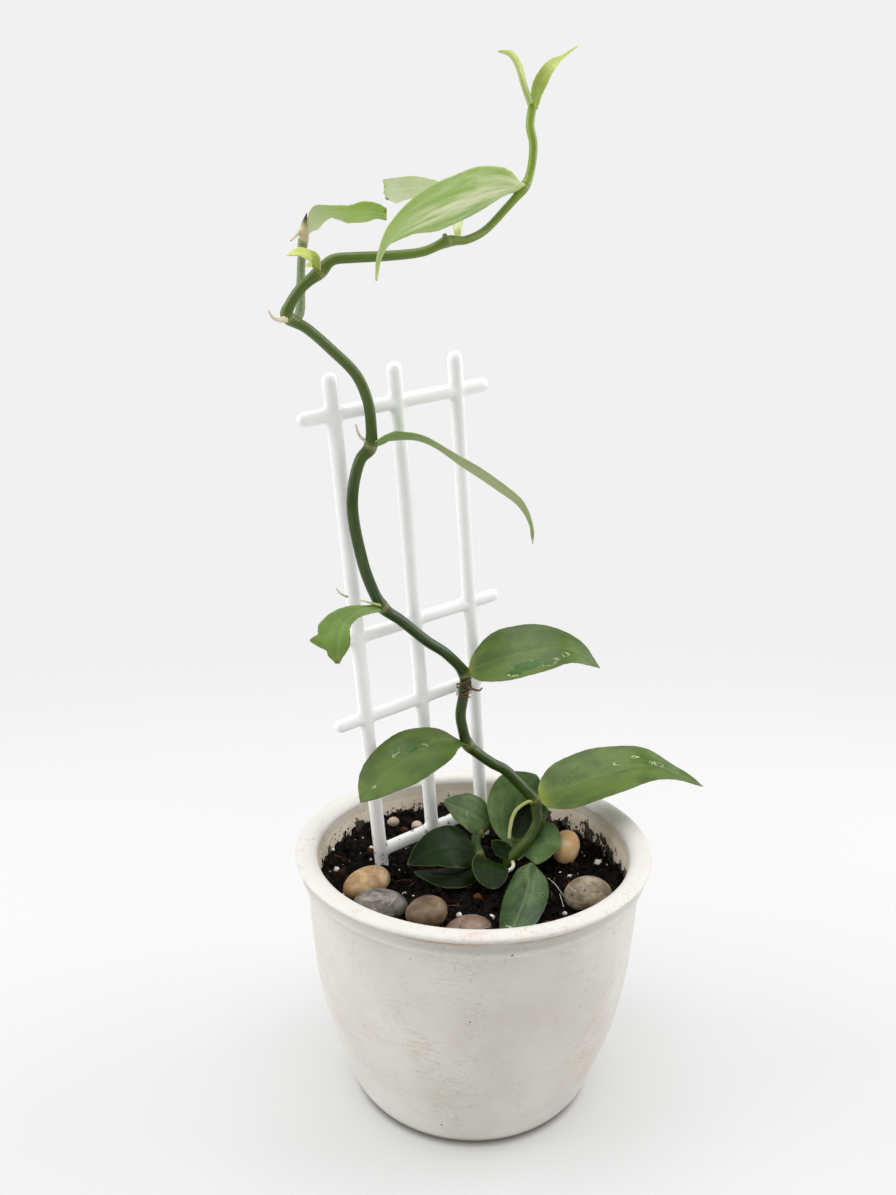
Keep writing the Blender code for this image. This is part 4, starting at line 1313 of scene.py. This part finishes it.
VINE = Stem(
    route=(
        (23, 4, 80), (22, 3, 90), (21, 1, 99), (26, 0, 105), (32, 0, 109), (37, 1, 115), (38, 3, 120),
        (38, 5, 125), (31, 8, 134), (25, 11, 141), (19, 13, 145), (13, 15, 150), (7, 16, 156), (4, 16, 165),
        (3, 16, 172), (4, 15, 182), (4, 15, 191), (-6, 14, 202), (-17, 13, 210), (-30, 12, 221),
        (-40, 11, 229), (-47, 10, 242), (-52, 8, 256), (-55, 7, 270), (-55, 6, 281), (-53, 4, 291),
        (-49, 3, 296), (-49, 2, 304), (-51, 1, 314), (-57, -1, 324), (-68, -3, 333), (-78, -5, 340),
        (-86, -6, 344), (-86, -8, 348), (-83, -12, 354), (-78, -16, 359), (-74, -18, 363), (-67, -20, 364),
        (-55, -22, 365), (-41, -23, 367), (-31, -24, 371), (-23, -24, 372), (-14, -23, 376), (-5, -23, 384),
        (3, -23, 392), (6, -23, 398), (7, -23, 407), (6, -22, 414), (7, -22, 421),
    ),
    radii=(2.8, 2.6, 2.4, 2.4, 2.4, 2.3, 1.9, 1.8, 1.4, 1.6),
    nodes=((38, 5, 125), (7, 16, 156), (4, 15, 191), (-40, 11, 229), (-49, 3, 296), (-86, -6, 344),
           (-78, -16, 359), (-31, -24, 371), (3, -23, 392)),
    ages=(0.3, 0.12, 0.08, 0.04, 0.02, 0.02, 0.06, 0.16, 0.24, 0.30, 0.5, 0.8, 1.0),
)
BACK_SHOOT = Stem(
    ((-84, -5, 342), (-80, -3, 346), (-78, 0, 356), (-77, 1, 364), (-76, 1, 373), (-76, 0.6, 376)),
    (1.7, 1.6, 1.5, 1.0), ((-76, 1, 370),))
BASAL = Stem(
    ((11, 4, 82), (11, 5, 90), (11, 6, 97), (10, 10, 102), (11, 14, 106), (15, 17, 109), (19, 17, 111),
     (22, 18, 113)),
    (2.4, 2.4, 2.3, 1.6), ((10, 10, 102), (15, 17, 109)), ages=(0.0, 0.1))
SPURS = {
    "pink_stub": (CREAM_FINISH, Stem(
        ((-86, -6, 344), (-89, -8, 343), (-93, -10, 343.5), (-95.5, -11, 346)), (1.6, 1.0, 0.7, 0.25))),
    "node_spur": (OLD_SHOOT_FINISH, Stem(
        ((-31, -24, 371), (-32.2, -24.3, 372.3), (-32.8, -24.5, 373.4)), (1.5, 1.2, 0.7))),
    "top_rootlet": (CREAM_FINISH, Stem(
        ((-76, 1, 375), (-79, 0, 372.5), (-82, -1, 370)), (0.8, 0.6, 0.3))),
    "dry_sheath": (SHEATH_FINISH, Stem(
        ((-76, 1, 370), (-76, 0.6, 373.5), (-75.6, 0.2, 376.8), (-75, 0, 379.8)), (1.7, 1.9, 1.1, 0.15),
        ages=(0.0, 0.0, 0.05, 0.9, 1.0))),
    "post_rootlet": (CREAM_FINISH, Stem(
        ((-54, 15, 234), (-57.6, 13.6, 236), (-60.5, 12.3, 239)), (0.5, 0.4, 0.2))),
    "node_strip": (ROOT_FINISH, Stem(
        ((-41.5, 9, 230), (-46.6, 7, 232), (-52.8, 5.7, 234.4)), (0.6, 0.5, 0.2))),
}
ROOTS = {
    "root_curled": (ROOT_FINISH, "green_root", Stem(
        ((37, 4, 124), (33, 3, 126), (27, 3, 124), (24, 3, 120), (22, 2, 115), (21, 1, 111)),
        (0.8, 0.8, 0.9, 0.75))),
    "root_white": (WHITE_TIP_FINISH, "pale_chip", Stem(
        ((22, 0, 100), (20, -4, 100.5), (18, -6, 100), (15, -6, 99)), (0.9, 0.9, 0.8))),
    "root_high": (CREAM_FINISH, "dried_root", Stem(
        ((-49, 3, 297), (-53.5, 3, 300.5), (-55.5, 2.5, 305)), (0.7, 0.6, 0.35))),
    "root_wrap": (BROWN_FINISH, "dried_root", Stem(
        ((4, 15, 186), (5, 11, 185), (8, 9, 184), (10, 9, 185)), (0.8, 0.6, 0.3))),
}


@dataclass(frozen=True)
class Wrap:
    """Dry strands wound loosely round the vine at a node: its place, the vine's radius and the strands."""

    centre: tuple = (4.0, 15.3, 185.5)
    radius: float = 2.9
    rise: float = 4.2
    strands: int = 16
    strand_points: int = 18
    seed: int = 7

    def surface(self) -> Surface:
        """Open arcs of a circle round the vine, each at its own height, slope and distance from the skin."""
        rng = np.random.default_rng(self.seed)
        share = np.linspace(0, 1, self.strand_points)
        arcs = []
        for _ in range(self.strands):
            turn = rng.uniform(0, 2 * math.pi) + share * rng.uniform(1.2, 3.4)
            away = self.radius + rng.uniform(0.0, 0.5) + rng.uniform(0, 0.9) * share ** 3
            height = rng.uniform(-1, 1) * self.rise + share * rng.uniform(-3.5, 3.5)
            route = round_points(away, turn, height) + self.centre
            shape = tube(route, 0.34 - 0.20 * share, 6, THREAD_REFERENCE)
            age = np.full(len(shape.points), rng.uniform(0, 1))
            shape.values = {"age": age, "node": np.full_like(age, NODE_FAR)}
            arcs.append(shape)
        return Surface.joined(arcs)


def build_stems() -> None:
    """The vine with its old back shoot, spurs and dry wrap, the basal shoot, and the roots."""
    add_piece("node_wrap", Wrap().surface(), BROWN_FINISH)
    add_piece("vine", VINE.surface(), VINE_FINISH, ("vine_stem",))
    add_piece("back_shoot", BACK_SHOOT.surface(), OLD_SHOOT_FINISH)
    add_piece("low_shoot", BASAL.surface(), VINE_FINISH, ("basal_shoot",))
    for name, (finish, spur) in SPURS.items():
        add_piece(name, spur.surface(), finish)
    for name, (finish, slot, root) in ROOTS.items():
        add_piece("fine_" + name, root.surface(), finish, (name,))


# Leaves


@dataclass(frozen=True)
class LeafFinish(Finish):
    """A leaf's skin: its greens, underside, veins, margin, stalk and wet patches, and how it is streaked.

    Band is how strongly the painted sheen of the pale middle shows, reach how far up the blade the stalk's
    colour goes, and lanes how many veins lie side by side. A thin pale leaf has a painted glow: light of its
    own that stands in for light shining through it.
    """

    name: str
    slot: str
    face: Colour
    deep: Colour
    vein: Colour
    under: Colour
    margin: Colour
    stalk: Colour
    wet: Colour = rgb(50, 92, 16)
    streaks: float = 0.3
    band: float = 0.0
    reach: float = 0.12
    lanes: float = 70.0
    gloss: float = 0.34
    shine: float = 0.5
    glow: float = 0.0
    bump = 0.55

    def inputs(self, graph: Graph) -> dict[str, object]:
        """The shared leaf skin with this leaf's values; a leaf with a painted glow gives off its own colour
        as light.
        """
        labels = (*LEAF_COLOURS, "Streaks", "Band", "Reach", "Lanes", "Gloss")
        skin = graph.placed(LEAF_SKIN, {label: getattr(self, label.lower()) for label in labels})
        inputs = {"Base Color": skin["Color"], "Roughness": skin["Roughness"], "Height": skin["Height"]}
        if self.glow:
            # Painted glow: the leaf's colour is given off as light.
            inputs["Emission Color"] = skin["Color"]
        return inputs

    def constants(self) -> dict[str, float]:
        """How it shines, and its painted glow."""
        return {"Specular IOR Level": self.shine, "Emission Strength": self.glow}


MATURE = LeafFinish(
    "mature_leaf_skin", "mature_leaf", rgb(86, 110, 40), rgb(64, 88, 26), rgb(118, 138, 76),
    rgb(122, 140, 82), rgb(84, 80, 38), rgb(156, 166, 60), streaks=0.2, gloss=0.26, shine=0.35)
EATEN = LeafFinish(
    "eaten_leaf_skin", "mature_leaf", rgb(124, 152, 70), rgb(98, 130, 48), rgb(152, 170, 104),
    rgb(140, 158, 96), rgb(110, 112, 56), rgb(168, 180, 84), streaks=0.25)
CLUSTER = LeafFinish(
    "cluster_leaf_skin", "dark_leaf", rgb(28, 47, 14), rgb(15, 30, 6), rgb(54, 74, 36),
    rgb(84, 104, 62), rgb(96, 114, 58), rgb(90, 108, 44), streaks=0.2, gloss=0.22, shine=0.14)
DULL = LeafFinish(
    "dull_leaf_skin", "dark_leaf", rgb(98, 123, 74), rgb(66, 90, 46), rgb(140, 160, 116),
    rgb(112, 134, 88), rgb(130, 148, 90), rgb(96, 114, 52), streaks=0.35, gloss=0.36, shine=0.32)
BLISTERED = LeafFinish(
    "blistered_leaf_skin", "dark_leaf", rgb(46, 78, 20), rgb(24, 48, 9), rgb(136, 152, 116),
    rgb(84, 104, 64), rgb(44, 60, 22), rgb(98, 116, 52), rgb(22, 38, 10), streaks=0.06, band=0.5, lanes=30.0,
    gloss=0.2, shine=0.5)
UPPER = LeafFinish(
    "upper_leaf_skin", "pale_leaf", rgb(142, 174, 78), rgb(116, 150, 54), rgb(224, 227, 186),
    rgb(134, 172, 66), rgb(196, 210, 132), rgb(200, 212, 130), streaks=0.6, band=0.95, shine=0.3, glow=0.06)
BEHIND = LeafFinish(
    "behind_leaf_skin", "pale_leaf", rgb(218, 222, 202), rgb(178, 194, 152), rgb(242, 242, 228),
    rgb(200, 208, 168), rgb(196, 208, 150), rgb(196, 208, 96), streaks=0.5, reach=0.35, shine=0.3, glow=0.16)
BACK = LeafFinish(
    "back_leaf_skin", "young_leaf", rgb(148, 184, 60), rgb(112, 154, 38), rgb(190, 208, 130),
    rgb(156, 186, 84), rgb(176, 198, 104), rgb(206, 212, 176), rgb(238, 238, 230), streaks=0.3, reach=0.62,
    shine=0.3, glow=0.11)
LONG = LeafFinish(
    "long_leaf_skin", "mature_leaf", rgb(108, 138, 58), rgb(86, 116, 40), rgb(170, 182, 134),
    rgb(172, 184, 134), rgb(188, 194, 148), rgb(84, 128, 20), streaks=0.35, reach=0.6, gloss=0.5, shine=0.15,
    glow=0.04)
YOUNG = LeafFinish(
    "young_leaf_skin", "young_leaf", rgb(184, 194, 84), rgb(150, 172, 52), rgb(224, 226, 158),
    rgb(176, 190, 84), rgb(206, 210, 150), rgb(96, 130, 28), streaks=0.4, reach=0.6, lanes=8.0, shine=0.35,
    glow=0.04)


class Grade(Enum):
    """How finely a blade is laid out: its rows from stalk to tip, and its lanes from margin to margin."""

    LARGE = (130, 40)
    SMALL = (90, 30)
    TINY = (60, 18)


@dataclass(frozen=True)
class Leaf:
    """A blade grown along its midrib.

    Its breadth comes from width, peak, full, stalk and neck, or else from flanks: the left and the right
    half's breadth at even steps from stalk to tip. Roll turns it about the midrib, in degrees at even steps.
    A scar is (place along, place across, radius, how many times longer than wide). Torn blades end dry and
    ragged, and frayed is how many millimetres the dry edge thins out by on the right half.
    """

    rib: tuple
    face: tuple
    width: float = 0.0
    fold: float = 8.0
    peak: float = 0.8
    full: float = 0.8
    stalk: float = 0.04
    neck: float = 2.0
    flanks: tuple = ()
    roll: tuple = (0.0, 0.0)
    blade: float = 1.1
    grade: Grade = Grade.SMALL
    finish: LeafFinish = CLUSTER
    wave: float = 0.35
    scars: tuple = ()
    torn: float = 0.0
    frayed: float = 0.0
    tone: float = 0.0
    lobes: float = 0.12

    def breadths(self, t: Array, s: Array) -> Array:
        """Half the blade's breadth, in millimetres, on the flank that s is on."""
        if self.flanks:
            reach = max(1, len(t) // (90 if self.torn else 24))
            ease = np.hanning(2 * reach + 3)[1:-1]
            left, right = (
                np.convolve(np.pad(stepped(t[:, 0], flank), len(ease) // 2, mode="edge"), ease / ease.sum(),
                            "valid")[:, None]
                for flank in self.flanks)
            return np.where(s < 0, left, right)
        x = np.clip((t - self.stalk) / (1 - self.stalk), 0, 1)
        breadth = self.width / 2 * np.clip(np.sin(math.pi * x ** self.peak), 0, 1) ** self.full
        return np.maximum(breadth, self.neck * np.clip(1 - t / 0.5, 0, 1) + 0.4) + 0 * s

    def scar_distance(self, t: Array, s: Array, breadth: Array, length: float) -> Array:
        """How far each point lies from the nearest scar, each scar an ellipse that follows the veins."""
        near = np.full(np.broadcast(t, s).shape, FAR)
        for at, over, radius, stretch in self.scars:
            bend = (s - over - 3 * (t - at) ** 2) * breadth
            near = np.minimum(near, np.hypot((t - at) * length / stretch, bend) - radius)
        return near

    def axes(self, rib: Array, t: Array) -> tuple[Array, Array, Array, Array]:
        """The midrib's points at t, with the directions along it, across the blade and out of its face."""
        share = np.linspace(0, 1, len(rib))
        middle, forward = (np.stack([np.interp(t, share, lane) for lane in rows.T], -1)
                           for rows in (rib, unit(np.gradient(rib, axis=0))))
        side = unit(np.cross(self.face, forward))
        normal = np.cross(forward, side)
        roll = np.radians(stepped(t, self.roll))[..., None]
        across = side * np.cos(roll) + normal * np.sin(roll)
        return middle, forward, across, normal * np.cos(roll) - side * np.sin(roll)

    def surface(self, seed: int) -> Surface:
        """The blade as a flat ring of points carried along the midrib.

        t runs from 0 at the stalk to 1 at the tip and s from -1 to 1 across. Without flanks the half breadth
        is width / 2 * sin(pi * x ** peak) ** full with x measured past the stalk, and never under the neck.
        Both halves turn up from the midrib by fold degrees at the margin, the margin waves, and the thickness
        falls off to nothing at the margin as the side of an ellipse does.

        Args:
            seed: The draw of this blade's wave.

        Returns:
            The closed blade, with distances to margin, midrib, scars and dry end and the face as values.
        """
        phase = np.random.default_rng(seed).uniform(0, 2 * math.pi, 4)
        rows, lanes = self.grade.value
        half_ring = np.sin(np.linspace(-math.pi / 2, math.pi / 2, lanes + 1))
        s = np.r_[half_ring, half_ring[-2:0:-1]][None]
        under = np.r_[np.zeros(lanes + 1), np.ones(lanes - 1)][None]
        upper = 1 - 2 * under
        t = np.linspace(0, 1, rows)[:, None]
        rib = smooth_route(self.rib, 0.5)
        length = np.linalg.norm(np.diff(rib, axis=0), axis=1).sum()
        middle, forward, side, normal = self.axes(rib, t)
        breadth = self.breadths(t, s)
        jag = np.sin(s * 5 + phase[3]) + 0.6 * np.sin(s * 13 + phase[2])
        middle = middle + forward * (self.torn * jag * t ** 8)[..., None]
        nick = self.lobes * np.abs(s) ** 3 * np.sin(61 * t + phase[1]) * np.sin(37 * t + phase[0])
        ripple = np.sin(11 * t + phase[0]) * np.sign(s) + 0.6 * np.sin(23 * t + phase[1] + 2 * s)
        lift = self.wave * s ** 2 * ripple * np.clip(breadth / 6, 0, 1)
        thinned = np.clip((1.01 - t) / 0.12, 0, 1) ** 0.5
        thick = self.blade / 2 * np.sqrt(np.clip(1 - s ** 2, 0, 1)) * thinned * upper
        groove = -0.25 * np.exp(-(breadth * s / 0.8) ** 2) * upper * np.clip(breadth / 4, 0, 1)
        turn = np.radians(self.fold) * np.abs(s)
        width = (breadth + nick) * s
        rings = (middle + side * (width * np.cos(turn))[..., None]
                 + normal * (np.abs(width) * np.sin(turn) + lift + thick + groove)[..., None])
        frayed = self.frayed * (1 + s)
        made = Surface.of_rings(rings, {
            "edge": breadth * (1 - np.abs(s)),
            "rib": breadth * np.abs(s),
            "under": under,
            "scar": self.scar_distance(t, s, breadth, length),
            "dry": (1 - t) * length + 0.8 * jag + frayed if self.torn else np.full((1, 1), FAR),
            "tone": np.full((1, 1), self.tone),
        })
        for uv in (made.quad_uv, made.tri_uv):
            there_and_back = 1 - np.abs(2 * uv[..., 0] - 1)
            uv[..., 0] = 0.5 - 0.5 * np.cos(math.pi * there_and_back)
        return made


LARGE, TINY = Grade.LARGE, Grade.TINY
LEAVES = {
    "leaf_right_low": Leaf(
        ((38, 5, 125), (50, -2, 130), (70, -11, 137), (89, -18, 139), (104, -24, 133), (113, -31, 128)),
        (0.1, -0.3, 1.0), 37, fold=9, peak=0.55, stalk=0.03, grade=LARGE, finish=MATURE,
        scars=((0.20, 0.35, 0.9, 3.0), (0.27, 0.5, 0.6, 3.5), (0.50, 0.3, 0.8, 2.0), (0.72, 0.2, 1.3, 2.2),
               (0.60, 0.5, 0.4, 2.5))),
    "leaf_left_low": Leaf(
        ((7, 16, 156), (-9, 12, 163), (-26, 7, 162), (-43, 6, 155), (-56, 2, 148)),
        (-0.2, -0.3, 0.9), 30, fold=3, peak=1.1, grade=LARGE, finish=MATURE, tone=-0.3,
        scars=((0.52, -0.2, 2.2, 1.5), (0.60, -0.36, 1.0, 2.2), (0.44, -0.05, 0.8, 2.0),
               (0.87, 0.12, 0.5, 1.4))),
    "leaf_right_mid": Leaf(
        ((4, 15, 191), (14, 7, 197), (25, 0, 201), (39, -6, 203), (49, -10, 200), (58, -15, 193)),
        (0.1, -0.5, 0.9), 34, fold=8, peak=0.66, grade=LARGE, finish=MATURE, tone=-0.2,
        scars=((0.43, -0.56, 3.4, 2.0), (0.34, -0.72, 2.2, 1.6), (0.56, -0.68, 1.6, 2.6),
               (0.70, -0.4, 1.0, 1.8))),
    "leaf_eaten": Leaf(
        ((-40, 11, 229), (-54, 4, 230), (-62, 2, 227), (-66, 0, 220), (-66.3, 0, 211.5)),
        (-0.5, -0.7, 0.4), fold=2,
        flanks=((1.2, 1.4, 1.6, 1.8, 2.1, 2.5, 3.3, 4.2, 5.1, 6.3, 7.9, 9.4, 8.6, 11.8, 4.4, 3.6, 1.0),
                (2.0, 2.1, 2.2, 2.2, 2.2, 2.2, 2.0, 1.9, 2.4, 2.8, 3.1, 4.0, 4.9, 5.0, 4.0, 2.3, 1.0)),
        grade=LARGE, finish=EATEN, wave=0.2, torn=0.3),
    "leaf_long": Leaf(
        ((-49, 3, 296), (-42.6, 1.5, 299.3), (-38.1, 0.5, 300.4), (-27.2, -2.5, 298.4), (-12.4, -8, 288.9),
         (3.4, -12, 278.4), (11.8, -14, 271.3), (16.4, -15.5, 262.6), (17.2, -16, 254.4)),
        (0.02, 0.1, 1.0), fold=2, roll=(-21, -16, -10, -8, -6, -4, -1, 4, 4),
        flanks=((2.0, 5.5, 3.9, 4.0, 4.4, 5.0, 5.4, 5.6, 5.2, 4.6, 3.6, 1.2, 0.1),
                (2.0, 8.5, 7.7, 6.5, 5.5, 5.9, 6.4, 6.9, 7.6, 7.2, 4.5, 1.6, 0.1)),
        grade=LARGE, finish=LONG, wave=0.2),
    "leaf_upper": Leaf(
        ((2.6, -23, 391.8), (-7.1, -27, 390.3), (-20, -31, 386.7), (-35.7, -37, 381.9), (-48.1, -42, 377.5),
         (-58.4, -46, 373.4), (-65.9, -49, 369.6), (-70.8, -51, 366), (-74.6, -53, 361), (-76.5, -54, 354.4)),
        (-0.3, 0.6, 0.8), fold=5, roll=(0, 0, 0, 0, 2, 3, 7, 14, 14),
        flanks=((1.6, 4.1, 9.2, 12.8, 14.6, 14.6, 13.0, 11.1, 9.1, 7.2, 4.8, 1.8, 0.6, 0.5),
                (1.6, 3.6, 8.6, 11.9, 13.5, 14.6, 15.2, 15.3, 15.1, 13.8, 11.6, 7.0, 2.2, 0.5)),
        grade=LARGE, finish=UPPER),
    "leaf_behind": Leaf(
        ((-26.4, -23.6, 371.9), (-24.2, -19.2, 376.1), (-23.2, -15.3, 381.3), (-26.2, -13.2, 386.6),
         (-31.6, -12.3, 389.3), (-36.7, -11, 390), (-41.2, -9.5, 389.7), (-47.2, -6.8, 388.6)),
        (0.3, 0.9, 0.2), fold=3, roll=(0, 0, 0, -12, -24, -30, -30, -30),
        flanks=((1.2, 1.3, 1.3, 2.2, 3.6, 4.6, 4.9, 4.6, 4.2, 4.8, 6.2, 3.6),
                (1.2, 1.6, 2.0, 3.8, 5.7, 5.7, 5.1, 4.4, 4.4, 4.5, 4.7, 4.6)),
        finish=BEHIND, torn=0.35, frayed=2.0),
    "leaf_back_shoot": Leaf(
        ((-74.7, 1, 373.4), (-73.1, 0.3, 376.7), (-70.6, -0.5, 379.6), (-67.5, -2, 380.7), (-63.9, -4, 380.7),
         (-60.9, -6, 380.1), (-57.3, -8, 380.6), (-53.9, -10.5, 380.8), (-50, -13, 380)),
        (-0.1, 0.4, 0.9), fold=6,
        flanks=((1.6, 2.0, 4.9, 5.5, 4.7, 4.2, 4.1, 5.1, 6.0, 6.0, 6.2, 6.2, 5.8, 4.0),
                (1.6, 6.0, 9.5, 10.5, 9.0, 7.0, 9.8, 12.0, 10.6, 9.9, 9.3, 7.8, 7.0, 6.5)),
        finish=BACK, torn=0.15, scars=((0.47, 0.72, 0.7, 1.4),)),
    "leaf_curled": Leaf(
        ((-78, -16, 359), (-84, -21, 363), (-89, -23, 364), (-94, -25, 363)),
        (-0.7, -0.6, 0.4), 6, fold=11, peak=0.8, neck=1.4, blade=0.9, grade=TINY, finish=YOUNG),
    "leaf_tip_left": Leaf(
        ((5, -23, 421), (1, -24, 427), (-2, -25, 432), (-7, -27, 435), (-13, -28, 435)),
        (0.2, -0.9, 0.3), fold=8, flanks=((1.8, 1.7, 1.6, 1.7, 2.0, 1.9, 1.3, 0.7, 0.3),) * 2,
        blade=1.9, finish=YOUNG, wave=0.1),
    "leaf_tip_right": Leaf(
        ((7.8, -21.8, 419.8), (11, -19, 427), (16, -19, 435), (25, -16, 441), (33, -15, 446)),
        (-0.4, -0.9, 0.1), fold=22, flanks=((1.3, 2.2, 2.8, 2.8, 2.5, 1.9, 1.2, 0.7, 0.5, 0.3),) * 2,
        blade=1.2, finish=YOUNG, wave=0.1),
    "leaf_foot_a": Leaf(
        ((10, 12, 104), (-4, 9, 110), (-17, 8, 112), (-30, 8, 109)),
        (-0.3, -0.6, 0.8), 22, fold=4, peak=0.7),
    "leaf_foot_b": Leaf(
        ((20, 17, 111), (12, 18, 119), (4, 18, 124), (-4, 19, 129)),
        (-0.4, -0.6, 0.7), 18, fold=2, peak=0.7, full=0.7, finish=DULL, tone=0.3,
        scars=((0.55, 0.2, 0.5, 1.2), (0.7, -0.3, 0.5, 1.0))),
    "leaf_foot_c": Leaf(
        ((23, 2, 101), (27, 7, 103), (32, 13, 112), (38, 16, 122), (47, 15, 132)),
        (0.0, -0.8, 0.5), 34, fold=5, peak=1.1, full=0.7, stalk=0.12, finish=DULL, tone=1.0),
    "leaf_foot_d": Leaf(
        ((24, 0, 101), (29, 0, 102), (33, -3, 105), (37, -8, 108), (41, -13, 109)),
        (-0.2, -0.4, 0.9), 24, fold=10, peak=1.3, full=0.6, stalk=0.15, finish=DULL, tone=0.2),
    "leaf_foot_e": Leaf(
        ((24, 0, 103), (19, 2, 105), (14, 5, 110)),
        (-0.5, -0.6, 0.6), 8, fold=8, peak=0.85, full=0.6, grade=TINY),
    "leaf_foot_f": Leaf(
        ((13, 4, 99.5), (9, -2, 104), (4, -8, 105), (0, -17, 100)),
        (-0.2, -0.6, 0.8), 17, fold=6, peak=1.15, full=0.5, stalk=0.12),
    "leaf_foot_g": Leaf(
        ((9, 9, 99.5), (-1, 2, 100.4), (-13, 0, 101.8), (-24, 12, 101.8)),
        (0.0, -0.2, 1.0), 15, fold=-4, peak=0.85, full=0.7, stalk=0.12, tone=-1.2),
    "leaf_foot_h": Leaf(
        ((29, -8, 93), (27, -10, 101), (19, -18, 106), (5, -35, 107), (-9, -47, 104), (-21, -56, 100)),
        (-0.3, -0.3, 0.9), 19, fold=-8, peak=1.05, full=0.6, stalk=0.2, grade=LARGE, finish=BLISTERED,
        wave=0.6, lobes=0.15,
        scars=((0.58, 0.72, 0.6, 1.0), (0.86, 0.45, 0.7, 1.2), (0.90, 0.0, 0.8, 1.0),
               (0.88, -0.4, 0.7, 1.0))),
    "leaf_foot_i": Leaf(
        ((27, 2, 107), (30, 6, 110), (34, 8, 115), (38, 9, 119), (41, 9, 123)),
        (-0.5, -0.8, 0.3), 13, fold=16, peak=0.95, full=0.6, grade=TINY),
}
FIRST_LEAF_SEED = 11


def build_leaves() -> None:
    """Every leaf, each with a wave of its own."""
    for seed, (name, leaf) in enumerate(LEAVES.items(), FIRST_LEAF_SEED):
        piece = name.replace("leaf_", "blade_", 1)
        add_piece(piece, leaf.surface(seed), leaf.finish, (name,))


# Studio


@dataclass(frozen=True)
class SweepFinish(Finish):
    """The floor's matt white, which glows as bright as the backdrop, fades out, and has a painted contact
    shadow under the pot.

    Fade, and the ring where the painted contact shadow goes from full to none, are distances from the pot's
    axis in metres.
    """

    name: str = "white_sweep"
    pale: Colour = rgb(177, 177, 177)
    deep: Colour = rgb(174, 174, 174)
    shadow: Colour = rgb(60, 50, 40)
    fade: tuple = (0.35, 0.85)
    shadow_ring: tuple = (0.0505, 0.0560)
    glow: float = 0.66

    def inputs(self, graph: Graph) -> dict[str, object]:
        """Faint clouds, a painted contact shadow where the pot stands, and less and less cover towards the
        rim.

        Args:
            graph: The material's tree.

        Returns:
            The colour, which also glows, and the alpha.
        """
        away = graph.off_axis()
        # Painted contact shadow: the floor is darkened in a ring just round the pot's foot.
        painted_contact_shadow = graph.span(away, self.shadow_ring[1], self.shadow_ring[0], 0.0, 0.85)
        colour = graph.coats(self.deep, (self.pale, graph.grain(1.5, 2.0)), (self.shadow, painted_contact_shadow))
        return {"Base Color": colour, "Emission Color": colour,
                "Alpha": graph.span(away, self.fade[1], self.fade[0])}

    def constants(self) -> dict[str, float]:
        """Matt, and as bright as the backdrop."""
        return {"Roughness": 0.9, "Emission Strength": self.glow}


@dataclass
class Studio:
    """The camera where the photographer stood, a pale floor, and soft light from a white tent.

    The camera's place is in millimetres. A light is a name, a place and a size in metres, and its watts.
    """

    eye: tuple = (-237.7, -350.9, 334.9)
    forward: tuple = (0.5210, 0.8190, -0.2404)
    up: tuple = (0.1229, 0.2067, 0.9706)
    focal_pixels: float = 1020.0
    picture_height: float = 1195.0
    sensor: float = 36.0
    clip: tuple = (0.01, 60.0)
    floor_radius: float = 3.0
    floor_sides: int = 96
    backdrop: float = 0.88
    ambient: float = 0.50
    aim: tuple = (0.0, 0.0, 0.2)
    lights: tuple = (
        ("overhead", (0.0, 0.1, 1.6), 1.6, 17.0),
        ("left", (-1.16, 0.64, 0.7), 1.2, 12.5),
        ("right", (1.254, -0.45, 0.7), 1.2, 13.0),
        ("front", (-0.45, -0.75, 1.6), 1.4, 2.5),
    )

    def camera(self) -> None:
        """The camera, its lens given by the focal length in pixels of the picture's long side."""
        data = bpy.data.cameras.new("camera")
        data.sensor_width = self.sensor
        data.lens = self.focal_pixels / self.picture_height * self.sensor
        data.clip_start, data.clip_end = self.clip
        back = -Vector(self.forward).normalized()
        right = Vector(self.up).cross(back).normalized()
        pose = Matrix((right, back.cross(right), back)).transposed().to_4x4()
        pose.translation = Vector(self.eye) * MM
        obj = add_object("camera", data)
        obj.matrix_world = pose
        bpy.context.scene.camera = obj

    def floor(self) -> None:
        """A wide flat disc."""
        rim = round_points(self.floor_radius, turns(self.floor_sides), 0.0)
        mesh = bpy.data.meshes.new("floor")
        mesh.from_pydata(rim.tolist(), [], [tuple(range(len(rim)))])
        mesh.materials.append(SweepFinish().material())
        add_object("floor", mesh)

    def light(self, name: str, place: tuple, size: float, watts: float) -> None:
        """A square soft light that faces the middle of the plant."""
        data = bpy.data.lights.new(name, "AREA")
        data.size = size
        data.energy = watts
        obj = add_object(name, data)
        obj.location = place
        obj.rotation_euler = (Vector(self.aim) - Vector(place)).to_track_quat("-Z", "Y").to_euler()
        obj.visible_camera = False

    def world(self) -> None:
        """Even light from all round, and a near-white backdrop for the camera."""
        world = bpy.data.worlds.new("tent")
        world.use_nodes = True
        bpy.context.scene.world = world
        graph = Graph(world.node_tree)
        seen = graph.node("LightPath", {}, "Is Camera Ray")
        ground = world.node_tree.nodes["Background"]
        graph.put(ground.inputs["Color"], (1.0, 1.0, 1.0))
        graph.put(ground.inputs["Strength"],
                  graph.node("MapRange", {"Value": seen, "To Min": self.ambient, "To Max": self.backdrop}))

    def build(self) -> None:
        """The whole studio."""
        self.camera()
        self.floor()
        self.world()
        for light in self.lights:
            self.light(*light)
        bpy.context.scene.view_settings.view_transform = "Standard"


def main() -> None:
    """Build the studio and the object."""
    logging.basicConfig(level=logging.INFO, format="%(message)s")
    Studio().build()
    Pot().build()
    Soil().build()
    build_pebbles()
    Trellis().build()
    build_stems()
    build_leaves()


if __name__ == "__main__":
    main()
